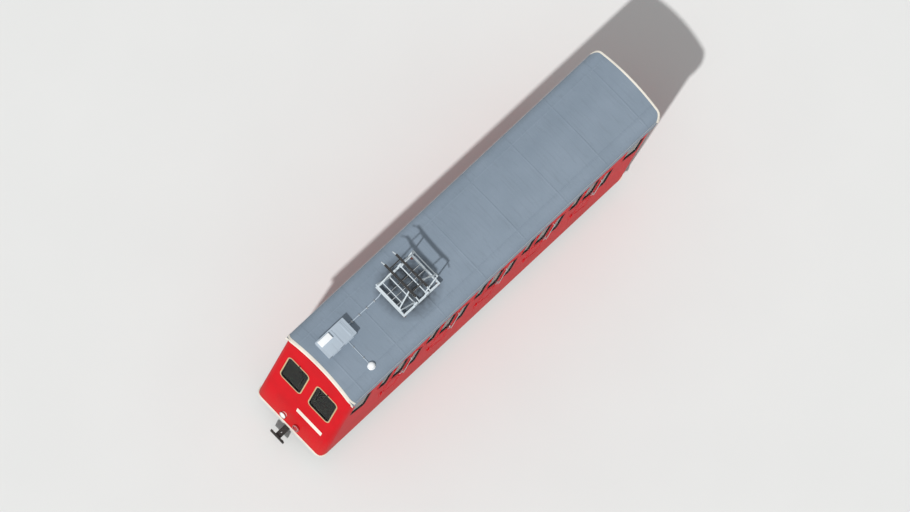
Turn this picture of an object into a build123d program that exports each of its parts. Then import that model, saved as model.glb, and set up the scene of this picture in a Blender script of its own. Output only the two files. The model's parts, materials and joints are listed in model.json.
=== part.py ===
from build123d import *
import math
import os

# An inclined mountain railcar with a stepped passenger body.
# Millimetres. X runs uphill along the track, Y to the left of a rider who looks
# uphill, Z square to the rails. Z is 0 under the wheel flanges.
# On its slope the end walls, doors and seat backs stand upright, so beside the
# rails they all lean uphill by LEAN. "Level" coordinates are those of a rider on
# the slope: x horizontal, z upright. turn_to_track brings them into X, Y, Z.

LEAN = 25.0

# Running gear
GAUGE = 800.0
WHEELBASE = 5600.0
TREAD_R = 300.0
FLANGE_HIGH = 25.0
FLANGE_THICK = 30.0
FLANGE_PLAY = 5.0
RIM_WIDE = 95.0
RIM_DEEP = 50.0
WEB_THICK = 28.0
HUB_R = 105.0
HUB_LONG = 150.0
AXLE_R = 62.0
JOURNAL_R = 48.0
JOURNAL_GAP = 0.5
AXLE_BOX_WIDE = 130.0
AXLE_BOX_LONG = 210.0
AXLE_BOX_BELOW = 95.0
AXLE_BOX_ABOVE = 85.0
SPRING_LONG = 860.0
SPRING_THICK = 60.0
SPRING_WIDE = 75.0
SPRING_END_LONG = 60.0

# Rack drive under the floor
DRIVE_INSIDE = 650.0
PINION_Y = 250.0
PINION_PITCH_R = 190.0
TOOTH_HIGH = 20.0
TOOTH_COUNT = 20
PINION_LOW = 95.0
PINION_THICK = 70.0
GUIDE_R = 218.0
GUIDE_LOW = 58.0
GUIDE_THICK = 22.0
SHAFT_R = 42.0
SHAFT_GAP = 0.5
GEARBOX_LONG = 620.0
GEARBOX_WIDE = 800.0
GEARBOX_TALL = 165.0
BOSS_R = 80.0
BOSS_LONG = 90.0
MOTOR_LONG = 1050.0
MOTOR_R = 185.0
MOTOR_BACK = 1300.0
DRUM_R = 170.0
DRUM_LONG = 180.0
CARDAN_R = 38.0

# Underframe
SOLEBAR_Y = 640.0
SOLEBAR_WIDE = 90.0
SOLEBAR_LOW = 520.0
SOLEBAR_TALL = 120.0
CROSS_LONG = 90.0
CROSS_END = 800.0
CROSS_BRAKE = 1000.0
CROSS_MOTOR = 300.0
HEADSTOCK_THICK = 110.0
HEADSTOCK_WIDE = 1900.0
HEADSTOCK_LOW = 450.0
STRINGER_THICK = 40.0
GUARD_AHEAD = 700.0
GUARD_LOW = 70.0
GUARD_WIDE = 240.0
GUARD_THICK = 40.0

# Draw gear
DRAW_Z = 385.0
DRAW_TALL = 100.0
DRAW_WIDE = 150.0
DRAW_PIN_R = 24.0
DRAW_PIN_BACK = 170.0
BUFFER_THICK = 45.0
BUFFER_WIDE = 420.0
BUFFER_TALL = 190.0
HILL_DRAW_REACH = 330.0

# Body
BODY_X = 90.0
BODY_MID_Z = 1715.0
CAB_LONG = 1100.0
ROOM_LONG = 1540.0
ROOMS = 5
BODY_WIDE = 2220.0
WALL = 45.0
CORNER_R = 180.0
END_DEEP = 200.0
SKIRT_Z = 445.0
PANEL_GAP = 2.0
FLOOR_THICK = 50.0
FLOOR_Z = 785.0
CAB_FLOOR_Z = 725.0
PARTITION_THICK = 30.0
BACKREST_HIGH = 800.0

# Roof
ROOF_THICK = 40.0
ROOF_GAP = 2.0
ROOF_EDGE_Z = 2880.0
ROOF_SHOULDER_Z = 3095.0
ROOF_CROWN_Z = 3255.0
ROOF_SHOULDER_R = 250.0
ROOF_OVERHANG = 50.0
ROOF_CORNER_R = 200.0

# Doors, level sizes
DOOR_WIDE = 572.0
DOOR_HIGH = 1812.0
DOOR_GAP = 6.0
DOOR_THICK = 40.0
DOOR_WINDOW_WIDE = 380.0
DOOR_WINDOW_HIGH = 760.0
DOOR_WINDOW_LOW = 880.0
HINGE_R = 12.0
HINGE_PIN_R = 6.0
HINGE_PIN_GAP = 0.4
HINGE_LONG = 70.0
HINGE_HEIGHTS = (280.0, 1480.0)
STRAP_LONG = 60.0
STRAP_THICK = 6.0

# Windows, level sizes
WINDOW_R = 60.0
SIDE_WINDOW_WIDE = 296.0
SIDE_WINDOW_HIGH = 760.0
SIDE_WINDOW_LOW = 880.0
SIDE_WINDOW_IN = 58.0
CAB_WINDOW_WIDE = 520.0
CAB_WINDOW_HIGH = 700.0
END_WINDOW_WIDE = 660.0
END_WINDOW_HIGH = 860.0
END_WINDOW_DOWN = 800.0
END_PILLAR = 300.0
END_WINDOW_R = 90.0
GLASS_THICK = 8.0
GLASS_GAP = 0.3

# Furniture, level sizes
BENCH_DEEP = 410.0
BENCH_HIGH = 430.0
DESK_DEEP = 360.0
DESK_HIGH = 600.0
DESK_WIDE = 1700.0
STOOL_R = 180.0
STOOL_THICK = 70.0
STOOL_HIGH = 520.0
STOOL_POST_R = 40.0

# Lamps
LAMP_R = 85.0
LAMP_LONG = 60.0
LAMP_Y = 222.0
LAMP_UP = 290.0

# Roof equipment, placed from the roof's valley edge
CASE_FROM = 280.0
CASE_LONG = 870.0
CASE_WIDE = 480.0
CASE_TALL = 220.0
HORN_FROM = 890.0
HORN_IN = 382.0
HORN_R = 100.0
HORN_TALL = 120.0
PAN_FROM = 2800.0
PAN_PIVOT_X = 180.0
PAN_ARM = 650.0
PAN_REACH = 405.0
PAN_PIVOT_UP = 235.0
PAN_ARM_Y = 415.0
PAN_TOP_Y = 300.0
PAN_TUBE_R = 17.0
PAN_SHAFT_R = 15.0
PAN_BRACE_R = 11.0
PAN_SLEEVE_R = 24.0
PAN_SLEEVE_LONG = 50.0
PAN_PIN_GAP = 0.5
PAN_HEAD_WIDE = 1300.0
PAN_HORN_DROP = 120.0
PAN_STRIP_WIDE = 60.0
PAN_STRIP_TALL = 30.0
PAN_BASE_LONG = 1170.0
PAN_BASE_WIDE = 980.0
PAN_RAIL = 50.0
INSULATOR_R = 45.0
INSULATOR_TALL = 110.0

# Worked out
SIN = math.sin(math.radians(LEAN))
COS = math.cos(math.radians(LEAN))
TAN = SIN / COS
FLANGE_R = TREAD_R + FLANGE_HIGH
AXLE_Z = FLANGE_R
BODY_LONG = 2 * CAB_LONG + ROOMS * ROOM_LONG
HALF_LEVEL = BODY_LONG * COS / 2
LEVEL_X = BODY_X * COS - BODY_MID_Z * SIN
HALF_WIDE = BODY_WIDE / 2
ROOF_HALF_WIDE = HALF_WIDE + ROOF_GAP + ROOF_THICK
SOLEBAR_TOP = SOLEBAR_LOW + SOLEBAR_TALL
AXLE_X = WHEELBASE / 2
DRIVE_X = AXLE_X - DRIVE_INSIDE
GUARD_X = AXLE_X + GUARD_AHEAD
MOTOR_X = DRIVE_X - MOTOR_BACK
HORN_Y = HORN_IN - ROOF_HALF_WIDE
FAR = 9000.0


def track_x(level_x, z):
    """X of the point at height z beside an upright plane of the slope."""
    return (level_x + z * SIN) / COS


def level_height(level_x, z):
    """Level height of a line that runs beside the rails at height z."""
    return level_x * TAN + z / COS


ROOF_EDGE_X = track_x(LEVEL_X - HALF_LEVEL, ROOF_CROWN_Z) - ROOF_OVERHANG / COS
HALF_OVERALL = track_x(LEVEL_X + HALF_LEVEL, ROOF_CROWN_Z) + ROOF_OVERHANG / COS


def box(x0, x1, y0, y1, z0, z1):
    """A box between two corners."""
    solid = Box(abs(x1 - x0), abs(y1 - y0), abs(z1 - z0))
    return Pos((x0 + x1) / 2, (y0 + y1) / 2, (z0 + z1) / 2) * solid


def turn_to_track(shape):
    """Level coordinates to those of the track."""
    return shape.rotate(Axis.Y, LEAN)


def level_box(x0, x1, y0, y1, z0, z1):
    return turn_to_track(box(x0, x1, y0, y1, z0, z1))


def rod(start, end, radius):
    """A round bar between two points."""
    a, b = Vector(*start), Vector(*end)
    plane = Plane(origin=a, z_dir=(b - a))
    return extrude(plane * Circle(radius), (b - a).length)


def across(x, z, half, radius):
    """A round bar along Y, centred on Y = 0."""
    return rod((x, -half, z), (x, half, z), radius)


def side_slab(x, z, wide, high, radius, y0, y1):
    """A level plate with round corners, its face towards Y."""
    plane = Plane(origin=(x, y0, z), x_dir=(1, 0, 0), z_dir=(0, 1, 0))
    return turn_to_track(extrude(plane * RectangleRounded(wide, high, radius), y1 - y0))


def end_slab(y, z, wide, high, radius, x0, x1):
    """A level plate with round corners, its face towards level X."""
    plane = Plane(origin=(x0, y, z), x_dir=(0, 1, 0), z_dir=(1, 0, 0))
    return turn_to_track(extrude(plane * RectangleRounded(wide, high, radius), x1 - x0))


def plan_block(inset, corner_r, overhang=0.0):
    """The body's plan with round corners, drawn out upright on the slope."""
    long = 2 * (HALF_LEVEL + overhang - inset)
    wide = 2 * (HALF_WIDE - inset) + 2 * overhang
    plan = Pos(LEVEL_X, 0, -FAR / 2) * RectangleRounded(long, wide, corner_r)
    return turn_to_track(extrude(plan, FAR + FAR / 2))


def roof_section(inset, low):
    """Section of the roof, square to the rails, in from its outside by inset."""
    half = ROOF_HALF_WIDE - inset
    shoulder = ROOF_SHOULDER_Z - inset
    crown = ROOF_CROWN_Z - inset
    plane = Plane(origin=(-FAR, 0, 0), x_dir=(0, 1, 0), z_dir=(1, 0, 0))
    outline = [
        Line((-half, low), (half, low)),
        Line((half, low), (half, shoulder)),
        ThreePointArc((half, shoulder), (0, crown), (-half, shoulder)),
        Line((-half, shoulder), (-half, low)),
    ]
    face = make_face(outline)
    corners = face.vertices().sort_by(Axis.Y)[-2:]
    return plane * fillet(corners, ROOF_SHOULDER_R - inset)


def roof_prism(inset, low):
    return extrude(roof_section(inset, low), 2 * FAR)


ROOF_OUTSIDE = roof_prism(0.0, ROOF_EDGE_Z)
SHELL_SPACE = roof_prism(ROOF_THICK + ROOF_GAP / 2, SKIRT_Z)


def set_on_roof(solid):
    """Cuts the foot of a piece to the roof that it stands on."""
    return solid - ROOF_OUTSIDE


def bay_table():
    """Rows of name, valley x, uphill x and floor height, in level sizes."""
    rows = [("cab_valley", CAB_LONG, CAB_FLOOR_Z)]
    rows += [("room_%d" % (i + 1), ROOM_LONG, FLOOR_Z) for i in range(ROOMS)]
    rows += [("cab_hill", CAB_LONG, FLOOR_Z)]
    x = LEVEL_X - HALF_LEVEL
    table = []
    for name, long, floor_z in rows:
        x_up = x + long * COS
        table.append((name, x, x_up, level_height(x_up, floor_z)))
        x = x_up
    return table


BAYS = bay_table()
ROOM_BAYS = BAYS[1:-1]


def door_mid(bay):
    return (bay[1] + bay[2]) / 2


def side_windows():
    """Rows of level x, level z, width and height of the windows of one side."""
    rows = []
    z_up = SIDE_WINDOW_LOW + SIDE_WINDOW_HIGH / 2
    for bay in ROOM_BAYS:
        half = SIDE_WINDOW_WIDE / 2
        rows.append((bay[1] + SIDE_WINDOW_IN + half, bay[3] + z_up, SIDE_WINDOW_WIDE, SIDE_WINDOW_HIGH))
        rows.append((bay[2] - SIDE_WINDOW_IN - half, bay[3] + z_up, SIDE_WINDOW_WIDE, SIDE_WINDOW_HIGH))
    for bay in (BAYS[0], BAYS[-1]):
        mid = (bay[1] + bay[2]) / 2
        top = level_height(mid - CAB_WINDOW_WIDE / 2, ROOF_EDGE_Z) - 2 * WINDOW_R
        rows.append((mid, top - CAB_WINDOW_HIGH / 2, CAB_WINDOW_WIDE, CAB_WINDOW_HIGH))
    return rows


def end_windows(end):
    """Rows of y and level z of the two windows of one end, -1 valley and 1 hill."""
    x = LEVEL_X + end * HALF_LEVEL
    z = level_height(x, ROOF_CROWN_Z) - END_WINDOW_DOWN - END_WINDOW_HIGH / 2
    y = (END_PILLAR + END_WINDOW_WIDE) / 2
    return [(-y, z), (y, z)]


def hinge_pieces(bay, side, moving):
    """Both hinges of a door: knuckles on the leaf, or pins on the post."""
    x = door_mid(bay) - DOOR_WIDE / 2 + DOOR_GAP / 2
    face = side * HALF_WIDE
    y = side * (HALF_WIDE + HINGE_R)
    solids = []
    for up in HINGE_HEIGHTS:
        z = bay[3] + up
        if moving:
            knuckle = rod((x, y, z), (x, y, z + HINGE_LONG), HINGE_R)
            bore = rod((x, y, z - 1), (x, y, z + HINGE_LONG + 1), HINGE_PIN_R + HINGE_PIN_GAP)
            strap = box(x, x + STRAP_LONG, face, face + side * STRAP_THICK, z, z + HINGE_LONG)
            solids.append(knuckle + strap - bore)
        else:
            low = z - HINGE_LONG - PANEL_GAP
            knuckle = rod((x, y, low), (x, y, z - PANEL_GAP), HINGE_R)
            pin = rod((x, y, low), (x, y, z + HINGE_LONG), HINGE_PIN_R)
            strap = box(x - STRAP_LONG, x, face, face + side * STRAP_THICK, low, z - PANEL_GAP)
            solids.append(knuckle + pin + strap)
    return solids


def side_panels(side):
    """The upright panels between the doors of one side, windows cut."""
    y0, y1 = side * (HALF_WIDE - WALL), side * HALF_WIDE
    joint = END_DEEP + PANEL_GAP
    starts = [LEVEL_X - HALF_LEVEL + joint]
    starts += [door_mid(bay) + DOOR_WIDE / 2 for bay in ROOM_BAYS]
    ends = [door_mid(bay) - DOOR_WIDE / 2 for bay in ROOM_BAYS]
    ends += [LEVEL_X + HALF_LEVEL - joint]
    holes = side_windows()
    panels = []
    for x0, x1 in zip(starts, ends):
        panel = level_box(x0, x1, y0, y1, -FAR / 2, FAR) & SHELL_SPACE
        for x, z, wide, high in holes:
            if x0 < x < x1:
                panel -= side_slab(x, z, wide, high, WINDOW_R, -FAR, FAR)
        for bay in ROOM_BAYS:
            if abs(door_mid(bay) - DOOR_WIDE / 2 - x1) < 1:
                for piece in hinge_pieces(bay, side, False):
                    panel += turn_to_track(piece)
        panels.append(panel)
    return panels


def door_surrounds(side):
    """The panels above and below each door of one side."""
    y0, y1 = side * (HALF_WIDE - WALL), side * HALF_WIDE
    pieces = []
    for bay in ROOM_BAYS:
        x0, x1 = door_mid(bay) - DOOR_WIDE / 2, door_mid(bay) + DOOR_WIDE / 2
        top = bay[3] + DOOR_HIGH
        pieces.append(level_box(x0, x1, y0, y1, top, FAR) & SHELL_SPACE)
        pieces.append(level_box(x0, x1, y0, y1, -FAR / 2, bay[3]) & SHELL_SPACE)
    return pieces


def end_wall(end):
    """One end wall with its round corners and two windows."""
    x = LEVEL_X + end * HALF_LEVEL
    ring = plan_block(0.0, CORNER_R) - plan_block(WALL, CORNER_R - WALL)
    part = level_box(x - end * END_DEEP, x + end * FAR, -FAR, FAR, -FAR / 2, FAR)
    wall = ring & part & SHELL_SPACE
    for y, z in end_windows(end):
        wall -= end_slab(y, z, END_WINDOW_WIDE, END_WINDOW_HIGH, END_WINDOW_R, x - END_DEEP, x + END_DEEP)
    return wall


def end_glass(end):
    x = LEVEL_X + end * (HALF_LEVEL - WALL / 2)
    panes = []
    for y, z in end_windows(end):
        wide, high = END_WINDOW_WIDE - 2 * GLASS_GAP, END_WINDOW_HIGH - 2 * GLASS_GAP
        half = GLASS_THICK / 2
        panes.append(end_slab(y, z, wide, high, END_WINDOW_R - GLASS_GAP, x - half, x + half))
    return panes


def side_glass(side):
    y = side * (HALF_WIDE - WALL / 2)
    panes = []
    for x, z, wide, high in side_windows():
        size = wide - 2 * GLASS_GAP, high - 2 * GLASS_GAP
        half = GLASS_THICK / 2
        panes.append(side_slab(x, z, *size, WINDOW_R - GLASS_GAP, y - half, y + half))
    return panes


def roof():
    """The roof skin, its sides brought down outside the walls."""
    outside = ROOF_OUTSIDE & plan_block(0.0, ROOF_CORNER_R, ROOF_OVERHANG)
    return outside - roof_prism(ROOF_THICK, ROOF_EDGE_Z - 1)


def floors():
    """A level tread for each bay."""
    inside = plan_block(WALL, CORNER_R - WALL)
    half = PARTITION_THICK / 2
    treads = []
    for name, x0, x1, z in BAYS:
        low = x0 if name == "cab_valley" else x0 + half
        high = x1 if name == "cab_hill" else x1 - half
        treads.append(level_box(low, high, -HALF_WIDE, HALF_WIDE, z - FLOOR_THICK, z) & inside)
    return treads


def partitions():
    """Riser and seat back in one panel at each step of the floor."""
    inside = plan_block(WALL, CORNER_R - WALL)
    half = PARTITION_THICK / 2
    panels = []
    for low, high in zip(BAYS[:-1], BAYS[1:]):
        x = low[2]
        top = high[3] + BACKREST_HIGH
        panels.append(level_box(x - half, x + half, -HALF_WIDE, HALF_WIDE, low[3] - FLOOR_THICK, top) & inside)
    return panels


def benches():
    """Two facing benches in each room."""
    half = PARTITION_THICK / 2
    y = HALF_WIDE - WALL
    solids = []
    for _, x0, x1, z in ROOM_BAYS:
        solids.append(level_box(x0 + half, x0 + half + BENCH_DEEP, -y, y, z, z + BENCH_HIGH))
        solids.append(level_box(x1 - half - BENCH_DEEP, x1 - half, -y, y, z, z + BENCH_HIGH))
    return solids


def desks():
    """A control desk under the windows of each cab."""
    y = DESK_WIDE / 2
    first, last = BAYS[0], BAYS[-1]
    valley = level_box(first[1] + WALL, first[1] + WALL + DESK_DEEP, -y, y, first[3], first[3] + DESK_HIGH)
    hill = level_box(last[2] - WALL - DESK_DEEP, last[2] - WALL, -y, y, last[3], last[3] + DESK_HIGH)
    return [valley, hill]


def stools():
    """A driver's stool on its post in each cab."""
    solids = []
    for bay in (BAYS[0], BAYS[-1]):
        x = (bay[1] + bay[2]) / 2
        if bay is BAYS[0]:
            x += STOOL_R
        else:
            x -= STOOL_R
        z = bay[3]
        post = rod((x, 0, z), (x, 0, z + STOOL_HIGH), STOOL_POST_R)
        seat = rod((x, 0, z + STOOL_HIGH - STOOL_THICK), (x, 0, z + STOOL_HIGH), STOOL_R)
        solids.append(turn_to_track(post + seat))
    return solids


def door_leaf(bay, side):
    """One door leaf with its window cut and its hinge knuckles."""
    x, z = door_mid(bay), bay[3] + DOOR_HIGH / 2
    wide, high = DOOR_WIDE - 2 * DOOR_GAP, DOOR_HIGH - 2 * DOOR_GAP
    y_in, y_out = side * (HALF_WIDE - DOOR_THICK), side * HALF_WIDE
    leaf = level_box(x - wide / 2, x + wide / 2, y_in, y_out, z - high / 2, z + high / 2)
    window_z = bay[3] + DOOR_WINDOW_LOW + DOOR_WINDOW_HIGH / 2
    leaf -= side_slab(x, window_z, DOOR_WINDOW_WIDE, DOOR_WINDOW_HIGH, WINDOW_R, -FAR, FAR)
    for piece in hinge_pieces(bay, side, True):
        leaf += turn_to_track(piece)
    return leaf


def solebars():
    """The two main beams, from headstock to headstock."""
    x0, x1 = headstock_faces()
    half = SOLEBAR_WIDE / 2
    y = SOLEBAR_Y
    return [box(x0, x1, s * y - half, s * y + half, SOLEBAR_LOW, SOLEBAR_TOP) for s in (-1, 1)]


def headstock_faces():
    """Inner faces of the two headstocks, which stand just inside the end walls."""
    valley = track_x(LEVEL_X - HALF_LEVEL + WALL, SOLEBAR_TOP) + PANEL_GAP
    hill = track_x(LEVEL_X + HALF_LEVEL - WALL, HEADSTOCK_LOW) - PANEL_GAP
    return valley + HEADSTOCK_THICK, hill - HEADSTOCK_THICK


def headstocks():
    x0, x1 = headstock_faces()
    y = HEADSTOCK_WIDE / 2
    valley = box(x0 - HEADSTOCK_THICK, x0, -y, y, HEADSTOCK_LOW, SOLEBAR_TOP)
    hill = box(x1, x1 + HEADSTOCK_THICK, -y, y, HEADSTOCK_LOW, SOLEBAR_TOP)
    return [valley, hill]


def cross_members():
    y = SOLEBAR_Y - SOLEBAR_WIDE / 2
    half = CROSS_LONG / 2
    places = [-GUARD_X - CROSS_END, -GUARD_X, -DRIVE_X, CROSS_BRAKE - DRIVE_X, 0.0]
    places += [MOTOR_X - CROSS_MOTOR, MOTOR_X + CROSS_MOTOR, DRIVE_X, GUARD_X]
    return [box(x - half, x + half, -y, y, SOLEBAR_LOW, SOLEBAR_TOP) for x in places]


def stringers():
    """Plates that carry the treads on the solebars."""
    half = STRINGER_THICK / 2
    gap = PARTITION_THICK / 2
    solids = []
    for name, x0, x1, z in BAYS:
        low = x0 + (END_DEEP if name == "cab_valley" else gap)
        high = x1 - (END_DEEP if name == "cab_hill" else gap)
        corners = [
            (low, level_height(low, SOLEBAR_TOP)),
            (high, level_height(high, SOLEBAR_TOP)),
            (high, z - FLOOR_THICK),
            (low, z - FLOOR_THICK),
        ]
        for side in (-1, 1):
            y = side * SOLEBAR_Y - half
            plane = Plane(origin=(0, y, 0), x_dir=(1, 0, 0), z_dir=(0, -1, 0))
            face = plane * make_face(Polyline(*corners, close=True))
            solids.append(turn_to_track(extrude(face, -STRINGER_THICK)))
    return solids


def wheelset(x):
    """Two flanged wheels on one axle with journals outside them."""
    inside = GAUGE / 2 - FLANGE_PLAY - FLANGE_THICK
    outside = inside + FLANGE_THICK + RIM_WIDE
    rim_r = TREAD_R - RIM_DEEP
    web = (inside + outside) / 2
    journal = SOLEBAR_Y + AXLE_BOX_WIDE / 2 - WALL
    axle = across(0, 0, outside, AXLE_R) + across(0, 0, journal, JOURNAL_R)
    for side in (-1, 1):
        def disc(y0, y1, radius, hole=0.0):
            ring = rod((0, side * y0, 0), (0, side * y1, 0), radius)
            return ring if hole == 0 else ring - rod((0, side * y0, 0), (0, side * y1, 0), hole)
        axle += disc(inside, outside, TREAD_R, rim_r)
        axle += disc(inside, inside + FLANGE_THICK, FLANGE_R, rim_r)
        axle += disc(web - WEB_THICK / 2, web + WEB_THICK / 2, rim_r + 1)
        axle += disc(web - HUB_LONG / 2, web + HUB_LONG / 2, HUB_R)
    return Pos(x, 0, AXLE_Z) * axle


def axle_boxes():
    """Four boxes that hold the journals."""
    solids = []
    half = AXLE_BOX_WIDE / 2
    for x in (-AXLE_X, AXLE_X):
        for side in (-1, 1):
            y = side * SOLEBAR_Y
            case = box(x - AXLE_BOX_LONG / 2, x + AXLE_BOX_LONG / 2, y - half, y + half,
                       AXLE_Z - AXLE_BOX_BELOW, AXLE_Z + AXLE_BOX_ABOVE)
            bore = rod((x, side * (SOLEBAR_Y - half - 1), AXLE_Z),
                       (x, side * (SOLEBAR_Y + half - WALL + JOURNAL_GAP), AXLE_Z),
                       JOURNAL_R + JOURNAL_GAP)
            solids.append(case - bore)
    return solids


def springs():
    """A leaf spring on each axle box, its ends under the solebar."""
    low = AXLE_Z + AXLE_BOX_ABOVE
    half = SPRING_LONG / 2
    rise = SOLEBAR_LOW - low - SPRING_THICK
    solids = []
    for x in (-AXLE_X, AXLE_X):
        for side in (-1, 1):
            y = side * SOLEBAR_Y - SPRING_WIDE / 2
            plane = Plane(origin=(x, y, 0), x_dir=(1, 0, 0), z_dir=(0, -1, 0))
            outline = [
                ThreePointArc((-half, low + rise), (0, low), (half, low + rise)),
                Line((half, low + rise), (half, SOLEBAR_LOW)),
                Line((half, SOLEBAR_LOW), (half - SPRING_END_LONG, SOLEBAR_LOW)),
                ThreePointArc((half - SPRING_END_LONG, SOLEBAR_LOW), (0, low + SPRING_THICK),
                              (SPRING_END_LONG - half, SOLEBAR_LOW)),
                Line((SPRING_END_LONG - half, SOLEBAR_LOW), (-half, SOLEBAR_LOW)),
                Line((-half, SOLEBAR_LOW), (-half, low + rise)),
            ]
            solids.append(extrude(plane * make_face(outline), -SPRING_WIDE))
    return solids


def pinion(x, side):
    """A rack pinion on its upright shaft, with the guide disc below it."""
    root, tip = PINION_PITCH_R - TOOTH_HIGH, PINION_PITCH_R + TOOTH_HIGH / 2
    step = 2 * math.pi / TOOTH_COUNT
    outline = []
    for i in range(TOOTH_COUNT):
        for share, radius in ((-0.30, root), (-0.14, tip), (0.14, tip), (0.30, root)):
            angle = (i + share) * step
            outline.append((radius * math.cos(angle), radius * math.sin(angle)))
    gear = extrude(Pos(0, 0, PINION_LOW) * make_face(Polyline(*outline, close=True)), PINION_THICK)
    guide = rod((0, 0, GUIDE_LOW), (0, 0, GUIDE_LOW + GUIDE_THICK), GUIDE_R)
    top = SOLEBAR_LOW - GEARBOX_TALL
    shaft = rod((0, 0, GUIDE_LOW), (0, 0, top), SHAFT_R)
    return Pos(x, side * PINION_Y, 0) * (gear + guide + shaft)


def gearbox(x):
    """The case above a pair of pinions, with a boss round each shaft."""
    low = SOLEBAR_LOW - GEARBOX_TALL
    half_long, half_wide = GEARBOX_LONG / 2, GEARBOX_WIDE / 2
    case = box(x - half_long, x + half_long, -half_wide, half_wide, low + SHAFT_GAP, SOLEBAR_LOW)
    for side in (-1, 1):
        y = side * PINION_Y
        case += rod((x, y, low - BOSS_LONG), (x, y, low + SHAFT_GAP), BOSS_R)
        case -= rod((x, y, low - BOSS_LONG - 1), (x, y, low + SHAFT_GAP), SHAFT_R + SHAFT_GAP)
    return case


def motor():
    """The drive motor, hung under two cross members, and its shaft."""
    z = SOLEBAR_LOW - MOTOR_R
    half = MOTOR_LONG / 2
    end = DRIVE_X - GEARBOX_LONG / 2
    body = rod((MOTOR_X - half, 0, z), (MOTOR_X + half, 0, z), MOTOR_R)
    saddle = box(MOTOR_X - half, MOTOR_X + half, -MOTOR_R / 2, MOTOR_R / 2, z, SOLEBAR_LOW)
    shaft_z = SOLEBAR_LOW - GEARBOX_TALL / 2
    return body + saddle + rod((MOTOR_X, 0, shaft_z), (end, 0, shaft_z), CARDAN_R)


def brake_drum():
    """The brake drum on the valley gearbox."""
    x = -DRIVE_X + GEARBOX_LONG / 2
    z = SOLEBAR_LOW - DRUM_R
    return rod((x, 0, z), (x + DRUM_LONG, 0, z), DRUM_R)


def rail_guards():
    """Plates hung from the solebars ahead of the wheels, over each rail."""
    solids = []
    inner = GAUGE / 2 - GUARD_WIDE / 2
    for x in (-GUARD_X, GUARD_X):
        for side in (-1, 1):
            y0, y1 = side * inner, side * (SOLEBAR_Y + SOLEBAR_WIDE / 2)
            plate = box(x - GUARD_THICK / 2, x + GUARD_THICK / 2, y0, y1, GUARD_LOW, SOLEBAR_LOW)
            solids.append(plate)
    return solids


def draw_gear(end):
    """The draw bar and buffer plate of one end, under its headstock."""
    x0, x1 = headstock_faces()
    low, high = DRAW_Z - DRAW_TALL / 2, HEADSTOCK_LOW
    half = DRAW_WIDE / 2
    if end < 0:
        back, tip = x0, -HALF_OVERALL
    else:
        back, tip = x1, track_x(LEVEL_X + HALF_LEVEL, SKIRT_Z) + HILL_DRAW_REACH
    bar = box(back, tip, -half, half, low, DRAW_Z + DRAW_TALL / 2)
    seat = box(back, back + end * HEADSTOCK_THICK / 2, -half, half, low, high)
    plate = box(tip, tip - end * BUFFER_THICK, -BUFFER_WIDE / 2, BUFFER_WIDE / 2,
                DRAW_Z - BUFFER_TALL / 2, DRAW_Z + BUFFER_TALL / 2)
    pin_x = tip - end * DRAW_PIN_BACK
    bore = rod((pin_x, 0, low - 1), (pin_x, 0, high), DRAW_PIN_R)
    return bar + seat + plate - bore


def lamps(side_of_valley):
    """One lamp on each end, to the left or right of the middle."""
    solids = []
    for end in (-1, 1):
        x = LEVEL_X + end * HALF_LEVEL
        z = level_height(x, SKIRT_Z) + LAMP_UP
        y = side_of_valley * end * -LAMP_Y
        solids.append(turn_to_track(rod((x, y, z), (x + end * LAMP_LONG, y, z), LAMP_R)))
    return solids


def roof_case():
    x = ROOF_EDGE_X + CASE_FROM
    return set_on_roof(box(x, x + CASE_LONG, 0, CASE_WIDE, ROOF_SHOULDER_Z, ROOF_CROWN_Z + CASE_TALL))


def roof_horn():
    x = ROOF_EDGE_X + HORN_FROM
    post = rod((x, HORN_Y, ROOF_SHOULDER_Z - 50), (x, HORN_Y, ROOF_CROWN_Z - 71 + HORN_TALL), HORN_R)
    return set_on_roof(post)


# Pantograph. The four arms are equally long, so the head rises upright.
PAN_X = ROOF_EDGE_X + PAN_FROM
PAN_Z = ROOF_CROWN_Z + PAN_PIVOT_UP
PAN_ANGLE = math.acos(PAN_REACH / PAN_ARM)
PAN_ELBOW_UP = PAN_ARM * math.sin(PAN_ANGLE)


def pan_base():
    """A frame of bars with a bearing block at each end of the two shafts."""
    z0 = ROOF_CROWN_Z + INSULATOR_TALL
    z1 = z0 + PAN_RAIL
    half_long, half_wide = PAN_BASE_LONG / 2, PAN_BASE_WIDE / 2
    frame = box(PAN_X - half_long, PAN_X + half_long, -half_wide, half_wide, z0, z1)
    frame -= box(PAN_X - half_long + PAN_RAIL, PAN_X + half_long - PAN_RAIL,
                 -half_wide + PAN_RAIL, half_wide - PAN_RAIL, z0 - 1, z1 + 1)
    for end in (-1, 1):
        x = PAN_X + end * PAN_PIVOT_X
        for side in (-1, 1):
            y0, y1 = side * (half_wide - PAN_RAIL), side * half_wide
            block = box(x - PAN_RAIL, x + PAN_RAIL, y0, y1, z1, PAN_Z + PAN_SLEEVE_R)
            frame += block - across(x, PAN_Z, half_wide + 1, PAN_SHAFT_R + PAN_PIN_GAP)
    return frame


def pan_insulators():
    solids = []
    x = PAN_BASE_LONG / 2 - PAN_RAIL
    y = PAN_BASE_WIDE / 2 - PAN_RAIL
    for sx in (-1, 1):
        for sy in (-1, 1):
            foot = rod((PAN_X + sx * x, sy * y, ROOF_SHOULDER_Z),
                       (PAN_X + sx * x, sy * y, ROOF_CROWN_Z + INSULATOR_TALL), INSULATOR_R)
            solids.append(set_on_roof(foot))
    return solids


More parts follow.
